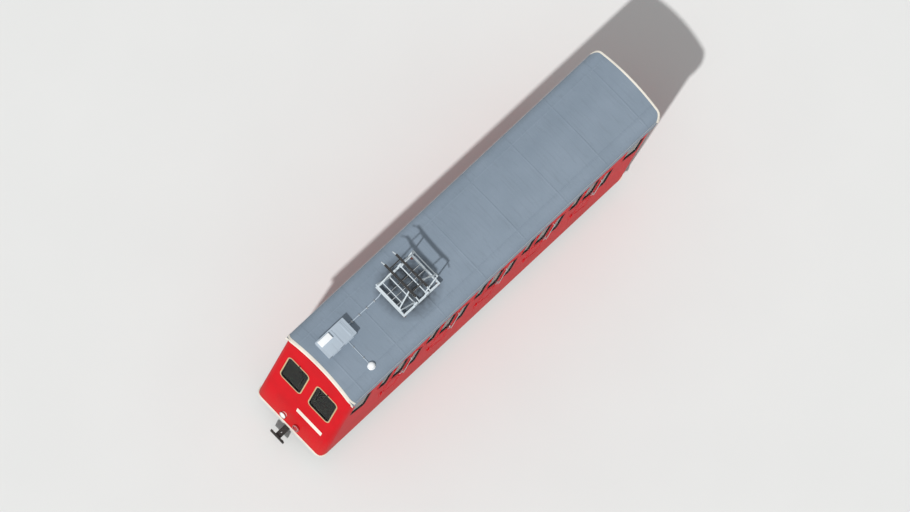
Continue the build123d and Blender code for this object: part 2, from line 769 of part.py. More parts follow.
def pan_lower(end):
    """Lower arm frame: base shaft, two tubes and the elbow shaft."""
    x0, x1 = PAN_X + end * PAN_PIVOT_X, PAN_X + end * (PAN_PIVOT_X + PAN_REACH)
    z1 = PAN_Z + PAN_ELBOW_UP
    arm = across(x0, PAN_Z, PAN_BASE_WIDE / 2, PAN_SHAFT_R)
    arm += across(x1, z1, PAN_ARM_Y, PAN_SHAFT_R)
    for side in (-1, 1):
        y = side * PAN_ARM_Y
        arm += rod((x0, y, PAN_Z), (x1, y, z1), PAN_TUBE_R)
        arm += rod((x0, y - PAN_SLEEVE_R / 2, PAN_Z), (x0, y + PAN_SLEEVE_R / 2, PAN_Z), PAN_SLEEVE_R)
        arm += rod((x1, y - PAN_SLEEVE_R / 2, z1), (x1, y + PAN_SLEEVE_R / 2, z1), PAN_SLEEVE_R)
    return arm


def pan_upper(end, low_y, top_y, top_bar):
    """Upper arm frame: two sleeves on the elbow shaft, tubes and top sleeves."""
    x0, x1 = PAN_X + end * (PAN_PIVOT_X + PAN_REACH), PAN_X + end * PAN_PIVOT_X
    z0, z1 = PAN_Z + PAN_ELBOW_UP, PAN_Z + 2 * PAN_ELBOW_UP
    half = PAN_SLEEVE_LONG / 2
    arm = None
    for side in (-1, 1):
        for x, y, z in ((x0, side * low_y, z0), (x1, side * top_y, z1)):
            sleeve = rod((x, y - half, z), (x, y + half, z), PAN_SLEEVE_R)
            arm = sleeve if arm is None else arm + sleeve
        arm += rod((x0, side * low_y, z0), (x1, side * top_y, z1), PAN_TUBE_R)
    share = top_bar
    x, z = x0 + (x1 - x0) * share, z0 + (z1 - z0) * share
    y = low_y + (top_y - low_y) * share
    arm += across(x, z, y, PAN_BRACE_R)
    for x, z in ((x0, z0), (x1, z1)):
        arm -= across(x, z, PAN_ARM_Y + half, PAN_SHAFT_R + PAN_PIN_GAP)
    return arm


def pan_head():
    """The contact strips on a frame that turns on the two top shafts."""
    z = PAN_Z + 2 * PAN_ELBOW_UP
    strip_z = z + PAN_SLEEVE_R + PAN_STRIP_TALL
    head = None
    for end in (-1, 1):
        x = PAN_X + end * PAN_PIVOT_X
        shaft = across(x, z, PAN_TOP_Y + 2 * PAN_SLEEVE_LONG, PAN_SHAFT_R)
        head = shaft if head is None else head + shaft
        half = PAN_HEAD_WIDE / 2
        flat = half - PAN_HORN_DROP
        head += box(x - PAN_STRIP_WIDE / 2, x + PAN_STRIP_WIDE / 2, -flat, flat,
                    strip_z, strip_z + PAN_STRIP_TALL)
        for side in (-1, 1):
            head += rod((x, side * (flat - PAN_STRIP_TALL), strip_z + PAN_STRIP_TALL / 2),
                        (x, side * half, strip_z - PAN_HORN_DROP), PAN_STRIP_TALL / 2)
            y = side * (PAN_TOP_Y + 1.6 * PAN_SLEEVE_LONG)
            head += box(x - PAN_STRIP_TALL / 2, x + PAN_STRIP_TALL / 2,
                        y - PAN_STRIP_TALL / 2, y + PAN_STRIP_TALL / 2, z, strip_z + 1)
    for side in (-1, 1):
        y = side * (PAN_TOP_Y + 1.6 * PAN_SLEEVE_LONG)
        head += box(PAN_X - PAN_PIVOT_X, PAN_X + PAN_PIVOT_X, y - PAN_STRIP_TALL / 2,
                    y + PAN_STRIP_TALL / 2, strip_z, strip_z + PAN_STRIP_TALL / 2)
    return head


def all_nodes():
    """Every node by name: a solid, or a list of solids that share it."""
    nodes = {
        "roof": roof(),
        "side_panels_left": side_panels(1),
        "side_panels_right": side_panels(-1),
        "door_surrounds_left": door_surrounds(1),
        "door_surrounds_right": door_surrounds(-1),
        "end_wall_valley": end_wall(-1),
        "end_wall_hill": end_wall(1),
        "side_glass_left": side_glass(1),
        "side_glass_right": side_glass(-1),
        "end_glass_valley": end_glass(-1),
        "end_glass_hill": end_glass(1),
        "floor_treads": floors(),
        "partitions": partitions(),
        "benches": benches(),
        "control_desks": desks(),
        "driver_stools": stools(),
        "solebars": solebars(),
        "headstocks": headstocks(),
        "cross_members": cross_members(),
        "floor_stringers": stringers(),
        "wheelset_valley": wheelset(-AXLE_X),
        "wheelset_hill": wheelset(AXLE_X),
        "axle_boxes": axle_boxes(),
        "leaf_springs": springs(),
        "drive_gearbox": gearbox(DRIVE_X),
        "brake_gearbox": gearbox(-DRIVE_X),
        "drive_motor": motor(),
        "brake_drum": brake_drum(),
        "rail_guards": rail_guards(),
        "draw_gear_valley": draw_gear(-1),
        "draw_gear_hill": draw_gear(1),
        "head_lamps": lamps(1),
        "tail_lamps": lamps(-1),
        "roof_case": roof_case(),
        "roof_horn": roof_horn(),
        "pantograph_base": pan_base(),
        "pantograph_insulators": pan_insulators(),
        "pantograph_lower_valley": pan_lower(-1),
        "pantograph_lower_hill": pan_lower(1),
        "pantograph_upper_valley": pan_upper(-1, PAN_ARM_Y - PAN_SLEEVE_LONG, PAN_TOP_Y, 0.3),
        "pantograph_upper_hill": pan_upper(1, PAN_ARM_Y - PAN_SLEEVE_LONG, PAN_TOP_Y, 0.3),
        "pantograph_head": pan_head(),
    }
    for end, x in (("hill", DRIVE_X), ("valley", -DRIVE_X)):
        for name, side in (("left", 1), ("right", -1)):
            nodes["pinion_%s_%s" % (end, name)] = pinion(x, side)
    for i, bay in enumerate(ROOM_BAYS):
        for name, side in (("left", 1), ("right", -1)):
            nodes["door_%s_%d" % (name, i + 1)] = door_leaf(bay, side)
    return nodes


def main():
    os.makedirs("parts", exist_ok=True)
    for name, made in all_nodes().items():
        solids = []
        for piece in made if isinstance(made, list) else [made]:
            solids += list(piece.solids())
        shape = solids[0] if len(solids) == 1 else Compound(children=solids)
        export_step(shape, "parts/%s.step" % name)


main()
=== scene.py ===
# %% [markdown]
# An inclined mountain railcar: a red body with a stepped floor that leans uphill,
# on two wheelsets and two pairs of toothed pinions, with a pantograph on its roof.
# The construction is loaded as a fixed frame. This lesson gives it its finishes and
# adds what is too fine for the construction: gaskets, rivets, slats, pipes, cables.
# Everything is in metres. X runs uphill from wheelset to wheelset, Y to the left of a
# rider who looks uphill, Z square to the plane on which the wheels stand.

# %% Load the frame and measure it
import json
import math

import bmesh
import bpy
from mathutils import Matrix, Vector


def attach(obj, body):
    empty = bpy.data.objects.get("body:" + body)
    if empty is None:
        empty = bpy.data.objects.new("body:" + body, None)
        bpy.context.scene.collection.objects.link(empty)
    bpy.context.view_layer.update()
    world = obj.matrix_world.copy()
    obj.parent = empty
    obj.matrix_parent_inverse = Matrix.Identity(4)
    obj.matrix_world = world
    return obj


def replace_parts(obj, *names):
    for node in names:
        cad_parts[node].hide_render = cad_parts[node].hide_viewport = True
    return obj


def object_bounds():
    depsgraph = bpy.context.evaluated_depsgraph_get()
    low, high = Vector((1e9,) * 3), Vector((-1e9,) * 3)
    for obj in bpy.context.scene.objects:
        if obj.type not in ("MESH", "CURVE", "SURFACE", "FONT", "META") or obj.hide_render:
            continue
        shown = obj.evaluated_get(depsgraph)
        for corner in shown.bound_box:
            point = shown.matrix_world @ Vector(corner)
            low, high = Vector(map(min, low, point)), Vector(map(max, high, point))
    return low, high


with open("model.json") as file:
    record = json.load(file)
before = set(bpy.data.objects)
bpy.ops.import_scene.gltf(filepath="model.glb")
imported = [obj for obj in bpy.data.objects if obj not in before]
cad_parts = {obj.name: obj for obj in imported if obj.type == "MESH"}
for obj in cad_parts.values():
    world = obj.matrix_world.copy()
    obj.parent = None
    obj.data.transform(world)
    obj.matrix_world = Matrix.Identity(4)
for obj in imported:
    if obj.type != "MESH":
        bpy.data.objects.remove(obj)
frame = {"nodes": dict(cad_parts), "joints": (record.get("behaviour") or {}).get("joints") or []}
cad_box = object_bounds()
nodes = frame["nodes"]
joints = {j["name"]: j for j in frame["joints"]}
print("nodes", len(nodes), "length", round(cad_box[1][0] - cad_box[0][0], 3))

# %% [markdown]
# The wheels stand on a slope, so what is upright in use leans 25 degrees in the
# frame. Doors, windows and benches are drawn as a rider sees them, in "level"
# coordinates, and one matrix turns the finished mesh into the frame. Its angle comes
# from a door's hinge line. What is square to the wheels is drawn as built.

# %% Level coordinates
hinge_line = Vector(joints["door_left_1_swing"]["axis"])
LEAN = math.atan2(hinge_line.x, hinge_line.z)
LEVEL = Matrix.Rotation(LEAN, 4, "Y")
AS_BUILT = Matrix.Identity(4)
print("lean", round(math.degrees(LEAN), 2), "degrees")

# %% [markdown]
# Several nodes hold more than one solid, such as all the panes of a side. To put a
# fitting on each, the script needs their places, so one function walks from vertex
# to vertex over the edges and gives the box of each group that hangs together.

# %% Find the solids of a node
WELD = 1e-5


def islands(node, space=LEVEL):
    """The separate solids of a node as (low, high) corners in that space's coordinates."""
    bm = bmesh.new()
    bm.from_mesh(nodes[node].data)
    bmesh.ops.remove_doubles(bm, verts=bm.verts, dist=WELD)
    back = space.inverted()
    left, found = set(bm.verts), []
    while left:
        group, edge = [], [left.pop()]
        while edge:
            v = edge.pop()
            group.append(back @ v.co)
            for e in v.link_edges:
                other = e.other_vert(v)
                if other in left:
                    left.remove(other)
                    edge.append(other)
        low = Vector([min(p[i] for p in group) for i in range(3)])
        high = Vector([max(p[i] for p in group) for i in range(3)])
        found.append((low, high))
    bm.free()
    return sorted(found, key=lambda c: (round(c[0].x, 3), round(c[0].y, 3)))


print("treads", len(islands("floor_treads")), "side panes", len(islands("side_glass_left")))

# %% [markdown]
# Colours are written as sRGB hex values, as a paint chart gives them, and one
# function turns them to the linear numbers that the shader wants. One more
# function adds a node of any kind with its settings: each input takes either a
# value or the output of an earlier node, so a chain reads from top to bottom.

# %% Colour and node helpers


def linear(hex_code, level=1.0):
    """An sRGB hex value as linear RGBA, made darker where level is under 1."""
    out = []
    for i in (0, 2, 4):
        c = int(hex_code[i:i + 2], 16) / 255
        out.append(level * (c / 12.92 if c <= 0.04045 else ((c + 0.055) / 1.055) ** 2.4))
    return (*out, 1.0)


def add(tree, kind, inputs=None, **settings):
    """Adds a node with its settings, and gives its inputs values or other nodes' outputs."""
    made = tree.nodes.new(kind)
    for key, value in settings.items():
        setattr(made, key, value)
    for key, value in (inputs or {}).items():
        if isinstance(value, bpy.types.NodeSocket):
            tree.links.new(value, made.inputs[key])
        else:
            made.inputs[key].default_value = value
    return made


def material(name, metallic=0.0, roughness=0.5, **sockets):
    """A new material with its shader, and the piece's own coordinates."""
    mat = bpy.data.materials.new(name)
    mat.use_nodes = True
    tree = mat.node_tree
    shader = tree.nodes["Principled BSDF"]
    shader.inputs["Metallic"].default_value = metallic
    shader.inputs["Roughness"].default_value = roughness
    for key, value in sockets.items():
        shader.inputs[key.replace("_", " ")].default_value = value
    place = add(tree, "ShaderNodeTexCoord").outputs["Object"]
    return mat, tree, shader, place


def connect(tree, shader, **sources):
    """Links finished chains to the shader: colour, roughness, metallic or relief."""
    names = {"colour": "Base Color", "roughness": "Roughness", "metallic": "Metallic", "relief": "Normal"}
    for key, source in sources.items():
        tree.links.new(source, shader.inputs[names[key]])


print("red as linear", [round(c, 3) for c in linear("C8202A")])

# %% [markdown]
# The body is steel sheet, filled, sprayed with enamel and dusty from use. Enamel has
# a faint orange peel of 9 mm. Dust dulls it in clouds of 0.4 m and runs down in
# streaks 26 mm wide, and more of it lies low on the skirt. The clouds and streaks
# are multiplied into one mask between paint and dust. The gloss is kept low, or the
# pale sky would bleach the red that the photograph shows.

# %% Body enamel
CLOUD_MM, STREAK_MM, PEEL_MM = 420, 26, 9
STREAK_LONG = 26
SKIRT_DUST, EVEN_DUST = 0.40, 2.2
PEEL_DEEP = 0.00025


def enamel(name, colour, dusty, dust="A08C7A", skirt_low=0.45, skirt_high=1.15):
    """Sprayed enamel on steel sheet with dust in clouds, streaks and along the skirt."""
    mat, tree, shader, place = material(name, Specular_IOR_Level=0.06)
    clouds = add(tree, "ShaderNodeTexNoise",
                 {"Vector": place, "Scale": 1000 / CLOUD_MM, "Detail": 6}).outputs[0]
    fall = add(tree, "ShaderNodeMapping", {"Vector": place, "Scale": (1, 1, 1 / STREAK_LONG)}).outputs[0]
    streaks = add(tree, "ShaderNodeTexNoise",
                  {"Vector": fall, "Scale": 1000 / STREAK_MM, "Detail": 3}).outputs[0]
    height = add(tree, "ShaderNodeSeparateXYZ", {"Vector": place}).outputs["Z"]
    skirt = add(tree, "ShaderNodeMapRange", {"Value": height, "From Min": skirt_high, "From Max": skirt_low,
                "To Max": SKIRT_DUST}).outputs[0]
    soil = add(tree, "ShaderNodeMath", {0: skirt, 1: EVEN_DUST * dusty}, operation="ADD").outputs[0]
    flecks = add(tree, "ShaderNodeMath", {0: clouds, 1: streaks}, operation="MULTIPLY").outputs[0]
    mask = add(tree, "ShaderNodeMath", {0: flecks, 1: soil}, operation="MULTIPLY").outputs[0]
    faded = add(tree, "ShaderNodeMapRange", {"Value": clouds, "From Min": 0.35, "From Max": 0.7}).outputs[0]
    shade = add(tree, "ShaderNodeMix", {0: faded, 6: linear(colour), 7: linear(colour, 0.88)},
                data_type="RGBA").outputs[2]
    dusted = add(tree, "ShaderNodeMix", {0: mask, 6: shade, 7: linear(dust)}, data_type="RGBA").outputs[2]
    dull = add(tree, "ShaderNodeMapRange", {"Value": mask, "From Max": 0.6, "To Min": 0.42, "To Max": 0.68})
    peel = add(tree, "ShaderNodeTexNoise", {"Vector": place, "Scale": 1000 / PEEL_MM}).outputs[0]
    relief = add(tree, "ShaderNodeBump",
                 {"Height": peel, "Distance": PEEL_DEEP, "Strength": 0.25}).outputs[0]
    connect(tree, shader, colour=dusted, roughness=dull.outputs[0], relief=relief)
    return mat


RED = enamel("red body enamel", "CE0A1A", 0.018)
CREAM = enamel("cream line enamel", "EFE9DC", 0.10)
SAND = enamel("sand window frame enamel", "C9B48A", 0.10)
FRAME_BLACK = enamel("black underframe enamel", "1D1D1F", 0.42, "605D59", 0.1, 1.6)
DRIVE_GREY = enamel("grey drive enamel", "4E565C", 0.5, "3A332C", 0.1, 0.7)
print("enamels", [m.name for m in (RED, CREAM, SAND, FRAME_BLACK, DRIVE_GREY)])

# %% [markdown]
# The roof is painted sheet that is seldom washed. From above it is a blue grey,
# with rain streaks 45 mm wide across it to the gutters, because rain runs along Y,
# and round the pantograph a dark patch that is partly soot from the carbon strips
# and partly painted shade of the pantograph's frame. The patch fades with the
# distance from a centre point that the function is given, and noise frays its edge.

# %% Roof paint
# The last size is that of the blotches in the dark patch of soot and painted shade.
PATCH_MM, RAIN_MM, GRIT_MM, SOOT_AND_SHADE_BLOTCH_MM = 600, 45, 14, 130
RAIN_LONG = 22
# The dark patch round the pantograph is partly soot and partly painted shade: its reach, full-strength
# distance and depth below the pivots.
SOOT_AND_SHADE_REACH, SOOT_AND_SHADE_FULL = 0.86, 0.45
SOOT_AND_SHADE_BELOW_PIVOT = 0.25


def roof_paint(name, colour, pale, soot_and_shade_centre=None):
    """Weathered paint on sheet, darkened round a point where one is given: partly soot, partly painted
    shade.
    """
    mat, tree, shader, place = material(name)
    clouds = add(tree, "ShaderNodeTexNoise",
                 {"Vector": place, "Scale": 1000 / PATCH_MM, "Detail": 5}).outputs[0]
    run = add(tree, "ShaderNodeMapping", {"Vector": place, "Scale": (1, 1 / RAIN_LONG, 1)}).outputs[0]
    streaks = add(tree, "ShaderNodeTexNoise",
                  {"Vector": run, "Scale": 1000 / RAIN_MM, "Detail": 4}).outputs[0]
    grit = add(tree, "ShaderNodeTexNoise",
               {"Vector": place, "Scale": 1000 / GRIT_MM, "Detail": 3}).outputs[0]
    base = add(tree, "ShaderNodeMix", {0: clouds, 6: linear(colour), 7: linear(pale)},
               data_type="RGBA").outputs[2]
    washed = add(tree, "ShaderNodeMapRange",
                 {"Value": streaks, "From Min": 0.52, "From Max": 0.75, "To Max": 0.35})
    base = add(tree, "ShaderNodeMix", {0: washed.outputs[0], 6: base, 7: linear("6F7A84")},
               data_type="RGBA").outputs[2]
    specks = add(tree, "ShaderNodeMapRange",
                 {"Value": grit, "From Min": 0.62, "From Max": 0.8, "To Max": 0.3})
    base = add(tree, "ShaderNodeMix", {0: specks.outputs[0], 6: base, 7: linear("B9BFC4")},
               data_type="RGBA").outputs[2]
    # Round the pantograph the colour is mixed towards dark 20272E: partly soot, partly painted shade under
    # the pantograph's frame.
    if soot_and_shade_centre:
        away = add(tree, "ShaderNodeVectorMath", {0: place, 1: soot_and_shade_centre},
                   operation="DISTANCE").outputs["Value"]
        near = add(tree, "ShaderNodeMapRange",
                   {"Value": away, "From Min": SOOT_AND_SHADE_REACH, "From Max": SOOT_AND_SHADE_FULL}).outputs[0]
        soot_and_shade_blotches = add(tree, "ShaderNodeTexNoise",
                    {"Vector": place, "Scale": 1000 / SOOT_AND_SHADE_BLOTCH_MM, "Detail": 5}).outputs[0]
        soot_and_shade_blotches = add(tree, "ShaderNodeMapRange", {"Value": soot_and_shade_blotches, "From Min": 0.3, "From Max": 0.65,
                    "To Min": 0.5, "To Max": 1.0}).outputs[0]
        soot_and_shade = add(tree, "ShaderNodeMath", {0: near, 1: soot_and_shade_blotches}, operation="MULTIPLY").outputs[0]
        base = add(tree, "ShaderNodeMix", {0: soot_and_shade, 6: base, 7: linear("20272E")},
                   data_type="RGBA").outputs[2]
    dull = add(tree, "ShaderNodeMapRange", {"Value": streaks, "To Min": 0.42, "To Max": 0.7}).outputs[0]
    relief = add(tree, "ShaderNodeBump", {"Height": grit, "Distance": 0.0006, "Strength": 0.3}).outputs[0]
    connect(tree, shader, colour=base, roughness=dull, relief=relief)
    return mat


pan_valley, pan_hill = joints["pantograph_raise"], joints["pantograph_lower_hill_turn"]
pan_mid = (Vector(pan_valley["pos_m"]) + Vector(pan_hill["pos_m"])) / 2
soot_and_shade_mid = (pan_mid.x, 0.0, pan_mid.z - SOOT_AND_SHADE_BELOW_PIVOT)
# The roof gets the dark patch of soot and painted shade round a point below the pantograph's pivots.
ROOF = roof_paint("blue grey roof paint", "74828F", "8592A0", soot_and_shade_mid)
CASE_PAINT = roof_paint("pale equipment paint", "A3B0BC", "B4BFC9")
print("soot round X", round(pan_mid.x, 3))

# %% [markdown]
# Small finishes share a pattern: a base colour, a second colour where noise is
# high, a range of roughness and a little relief whose grain is four times finer. A
# table of real finishes gives each its sizes. Metals keep the default IOR, and
# colours come from how the surface was made: cast, rolled, anodised or moulded.

# %% Plain finishes
SPOT_FROM, SPOT_FULL = 0.88, 1.15
FINER = 4


def finish(name, base, spot, lump_mm, share, rough, metallic=0.0, relief_mm=0.0, stretch=(1, 1, 1),
           **sockets):
    """A base colour with spots of another over a share of it, both from noise of a real size."""
    mat, tree, shader, place = material(name, metallic=metallic, **sockets)
    drawn = add(tree, "ShaderNodeMapping", {"Vector": place, "Scale": [1 / s for s in stretch]}).outputs[0]
    lumps = add(tree, "ShaderNodeTexNoise",
                {"Vector": drawn, "Scale": 1000 / lump_mm, "Detail": 5}).outputs[0]
    mask = add(tree, "ShaderNodeMapRange", {"Value": lumps, "From Min": SPOT_FROM - share,
               "From Max": min(SPOT_FULL - share, 1.0)}).outputs[0]
    colour = add(tree, "ShaderNodeMix", {0: mask, 6: linear(base), 7: linear(spot)},
                 data_type="RGBA").outputs[2]
    shine = add(tree, "ShaderNodeMapRange",
                {"Value": mask, "To Min": rough[0], "To Max": rough[1]}).outputs[0]
    connect(tree, shader, colour=colour, roughness=shine)
    if relief_mm:
        fine = add(tree, "ShaderNodeTexNoise",
                   {"Vector": drawn, "Scale": 1000 * FINER / lump_mm, "Detail": 3}).outputs[0]
        relief = add(tree, "ShaderNodeBump",
                     {"Height": fine, "Distance": relief_mm / 1000, "Strength": 0.5})
        connect(tree, shader, relief=relief.outputs[0])
    return mat


print("finish helper ready")

# %% [markdown]
# The metals: anodised aluminium is satin in two close shades, tube is polished, zinc
# on bolts is spotted with brown, castings are pitted and matt. The pantograph's
# tubes are sprayed with zinc and painted pale, so they are hardly metallic. Oil and
# grease leave spring and gear steel dark and uneven.

# %% Metal finishes
ALLOY = finish("anodised aluminium", "B9BCBE", "9A9DA0", 90, 0.35, (0.28, 0.42), 1.0, 0.05, (1, 1, 8))
STAINLESS = finish("polished stainless tube", "C9CBCC", "A6A8AA", 40, 0.3, (0.14, 0.28), 1.0)
ZINC = finish("zinc plated bolt", "9C9FA1", "6E6A64", 8, 0.4, (0.35, 0.6), 1.0, 0.1)
SPRING = finish("oiled spring steel", "3A3733", "5B4A3A", 40, 0.4, (0.35, 0.6), 0.85, 0.2)
GEAR = finish("greased gear steel", "6B6964", "2E2A25", 18, 0.45, (0.22, 0.5), 1.0, 0.15)
CAST = finish("cast iron", "3B3A38", "5A4536", 30, 0.4, (0.55, 0.8), 0.8, 0.5)
PAN_GREY = finish("zinc sprayed arm tube", "CFD8DD", "B2BCC2", 25, 0.35, (0.4, 0.6), 0.08, 0.05)
print("metals", len(bpy.data.materials))

# %% [markdown]
# The others: vulcanised rubber, laminate, moulded plastic, leather, glazed
# porcelain, pressed lens glass, and carbon, whose wear lies in grooves along Y.
# Glaze and lens glass are smooth under a clear coat. The horn's cover is the
# whitest paint on the car.

# %% Rubber, plastic, porcelain and lens finishes
RUBBER = finish("black window rubber", "161617", "2A2A2A", 60, 0.4, (0.55, 0.75), relief_mm=0.2)
FLOOR = finish("ribbed floor rubber", "2B2C2E", "3D3C3A", 120, 0.45, (0.6, 0.8), relief_mm=0.4)
LAMINATE = finish("cream wall laminate", "DDD3BC", "CFC4AB", 200, 0.4, (0.35, 0.5), relief_mm=0.05)
DESK = finish("moulded desk plastic", "2E3235", "3A3F43", 30, 0.5, (0.5, 0.65), relief_mm=0.15)
LEATHER = finish("black stool leather", "1C1A19", "2E2A27", 12, 0.5, (0.4, 0.6), relief_mm=0.5)
CARBON = finish("worn carbon strip", "2A2A2B", "55504A", 15, 0.4, (0.3, 0.5), 0.2, 0.1, (1, 6, 1))
GLAZE = finish("brown glazed porcelain", "5A2416", "3C160C", 50, 0.4, (0.08, 0.16), Coat_Weight=0.6)
WHITE_LENS = finish("pressed lens glass", "F1F2EE", "E2E4E0", 20, 0.4, (0.06, 0.12), Coat_Weight=0.8)
RED_LENS = finish("red lens glass", "B00E14", "8C0A10", 20, 0.4, (0.06, 0.12), Coat_Weight=0.8)
HORN = finish("white cover enamel", "F2F4F5", "E3E6E8", 50, 0.35, (0.3, 0.45), Coat_Weight=0.2)
DIAL = finish("white dial face", "E8E8E2", "DAD9D2", 30, 0.4, (0.4, 0.5))
CABLE = finish("black cable sheath", "1A1A1B", "2C2A28", 20, 0.4, (0.5, 0.7), relief_mm=0.1)
print("finishes", len(bpy.data.materials))

# %% [markdown]
# Window glass is 8 mm laminated safety glass, tinted olive grey against strong sun,
# with a thin uneven film of dust that dulls its shine here and there.
# The photograph shows the panes nearly black. So from the 1.5 of bare glass the IOR
# is brought down to 1.25, as on a coated pane, which mirrors much less pale sky.

# %% Window glass
FILM_MM, FILM_LONG = 180, 3


def window_glass(name):
    """Tinted, coated laminated glass with an uneven film of dust."""
    mat, tree, shader, place = material(name, Transmission_Weight=1.0, IOR=1.25, Specular_IOR_Level=0.08)
    fall = add(tree, "ShaderNodeMapping", {"Vector": place, "Scale": (1, 1, 1 / FILM_LONG)}).outputs[0]
    film = add(tree, "ShaderNodeTexNoise", {"Vector": fall, "Scale": 1000 / FILM_MM, "Detail": 5}).outputs[0]
    tint = add(tree, "ShaderNodeMix", {0: film, 6: linear("7C8876"), 7: linear("656F5E")},
               data_type="RGBA").outputs[2]
    shine = add(tree, "ShaderNodeMapRange", {"Value": film, "To Min": 0.0, "To Max": 0.07}).outputs[0]
    connect(tree, shader, colour=tint, roughness=shine)
    return mat


GLASS = window_glass("laminated window glass")
print("glass", GLASS.name)

# %% [markdown]
# Bench slats are varnished ash. Its grain lines lie about 12 mm apart, as a wave of
# scale 26 gives them, and run the length of a slat, so the wave is distorted and
# stretched along Y. Pores of 5 mm are drawn coarse, to show. Each slat differs,
# because the pattern is read at its own place.

# %% Varnished ash
GRAIN_WAVE, GRAIN_ALONG = 26, 0.05
DRIFT_MM, DRIFT_LONG = 90, 14
PORE_MM, PORE_LONG = 5, 45


def ash(name):
    """Varnished open-grained wood whose grain runs along Y."""
    mat, tree, shader, place = material(name, roughness=0.32, Coat_Weight=0.5, Coat_Roughness=0.15)
    slow = add(tree, "ShaderNodeMapping", {"Vector": place, "Scale": (1, 1 / DRIFT_LONG, 1)}).outputs[0]
    drift = add(tree, "ShaderNodeTexNoise",
                {"Vector": slow, "Scale": 1000 / DRIFT_MM, "Detail": 4}).outputs[0]
    long = add(tree, "ShaderNodeMapping", {"Vector": place, "Scale": (1, 1 / PORE_LONG, 1)}).outputs[0]
    pores = add(tree, "ShaderNodeTexNoise",
                {"Vector": long, "Scale": 1000 / PORE_MM, "Detail": 5}).outputs[0]
    bent = add(tree, "ShaderNodeMapping", {"Vector": place, "Scale": (1, GRAIN_ALONG, 1)}).outputs[0]
    rings = add(tree, "ShaderNodeTexWave",
                {"Vector": bent, "Scale": GRAIN_WAVE, "Distortion": 5, "Detail": 3},
                bands_direction="X").outputs["Fac"]
    grain = add(tree, "ShaderNodeMix", {0: 0.5, 2: rings, 3: pores}).outputs[0]
    dark = add(tree, "ShaderNodeMapRange", {"Value": grain, "From Min": 0.2, "From Max": 0.75}).outputs[0]
    wood = add(tree, "ShaderNodeMix", {0: dark, 6: linear("8A5A30"), 7: linear("BD8A52")},
               data_type="RGBA").outputs[2]
    wood = add(tree, "ShaderNodeMix", {0: drift, 6: wood, 7: linear("A06C3C")}, data_type="RGBA").outputs[2]
    relief = add(tree, "ShaderNodeBump", {"Height": pores, "Distance": 0.00015, "Strength": 0.4}).outputs[0]
    connect(tree, shader, colour=wood, relief=relief)
    return mat


WOOD = ash("varnished ash")
print("wood", WOOD.name)

# %% [markdown]
# A wheel is forged steel. Its tread and flange are rolled bright, the web behind
# them is brown with rust and brake dust. The distance from the axle's line
# decides which: it is worked out from X and Z, which are the same for both wheels.

# %% Wheel steel
AXLE = {end: Vector(joints["wheelset_%s_roll" % end]["pos_m"]) for end in ("valley", "hill")}
TREAD_R = 0.300
BRIGHT_FROM, BRIGHT_FULL = TREAD_R - 0.006, TREAD_R - 0.001
GRIME_MM, PIT_MM = 70, 12


def wheel_steel(name, axle):
    """Forged steel, bright outside the tread's radius and rusty within it."""
    mat, tree, shader, place = material(name, metallic=1.0)
    centred = add(tree, "ShaderNodeMapping",
                  {"Vector": place, "Location": (-axle.x, 0, -axle.z)}).outputs[0]
    flat = add(tree, "ShaderNodeVectorMath", {0: centred, 1: (1, 0, 1)}, operation="MULTIPLY").outputs[0]
    radius = add(tree, "ShaderNodeVectorMath", {0: flat}, operation="LENGTH").outputs["Value"]
    worn = add(tree, "ShaderNodeMapRange",
               {"Value": radius, "From Min": BRIGHT_FROM, "From Max": BRIGHT_FULL}).outputs[0]
    grime = add(tree, "ShaderNodeTexNoise",
                {"Vector": place, "Scale": 1000 / GRIME_MM, "Detail": 6}).outputs[0]
    rust = add(tree, "ShaderNodeMix", {0: grime, 6: linear("3A2C22"), 7: linear("5C4432")},
               data_type="RGBA").outputs[2]
    bright = add(tree, "ShaderNodeMix", {0: grime, 6: linear("A9A6A2"), 7: linear("85817B")},
                 data_type="RGBA").outputs[2]
    colour = add(tree, "ShaderNodeMix", {0: worn, 6: rust, 7: bright}, data_type="RGBA").outputs[2]
    rough = add(tree, "ShaderNodeMapRange", {"Value": worn, "To Min": 0.78, "To Max": 0.28}).outputs[0]
    metal = add(tree, "ShaderNodeMapRange", {"Value": worn, "To Min": 0.3, "To Max": 1.0}).outputs[0]
    pits = add(tree, "ShaderNodeTexNoise",
               {"Vector": place, "Scale": 1000 / PIT_MM, "Detail": 3}).outputs[0]
    relief = add(tree, "ShaderNodeBump", {"Height": pits, "Distance": 0.0003, "Strength": 0.3}).outputs[0]
    connect(tree, shader, colour=colour, roughness=rough, metallic=metal, relief=relief)
    return mat


WHEEL = {end: wheel_steel("wheel steel %s" % end, AXLE[end]) for end in AXLE}
print("materials", len(bpy.data.materials))

# %% [markdown]
# First every construction node gets its real finish. A node that a richer piece
# stands for later keeps this finish too, in case it is shown in another scene.

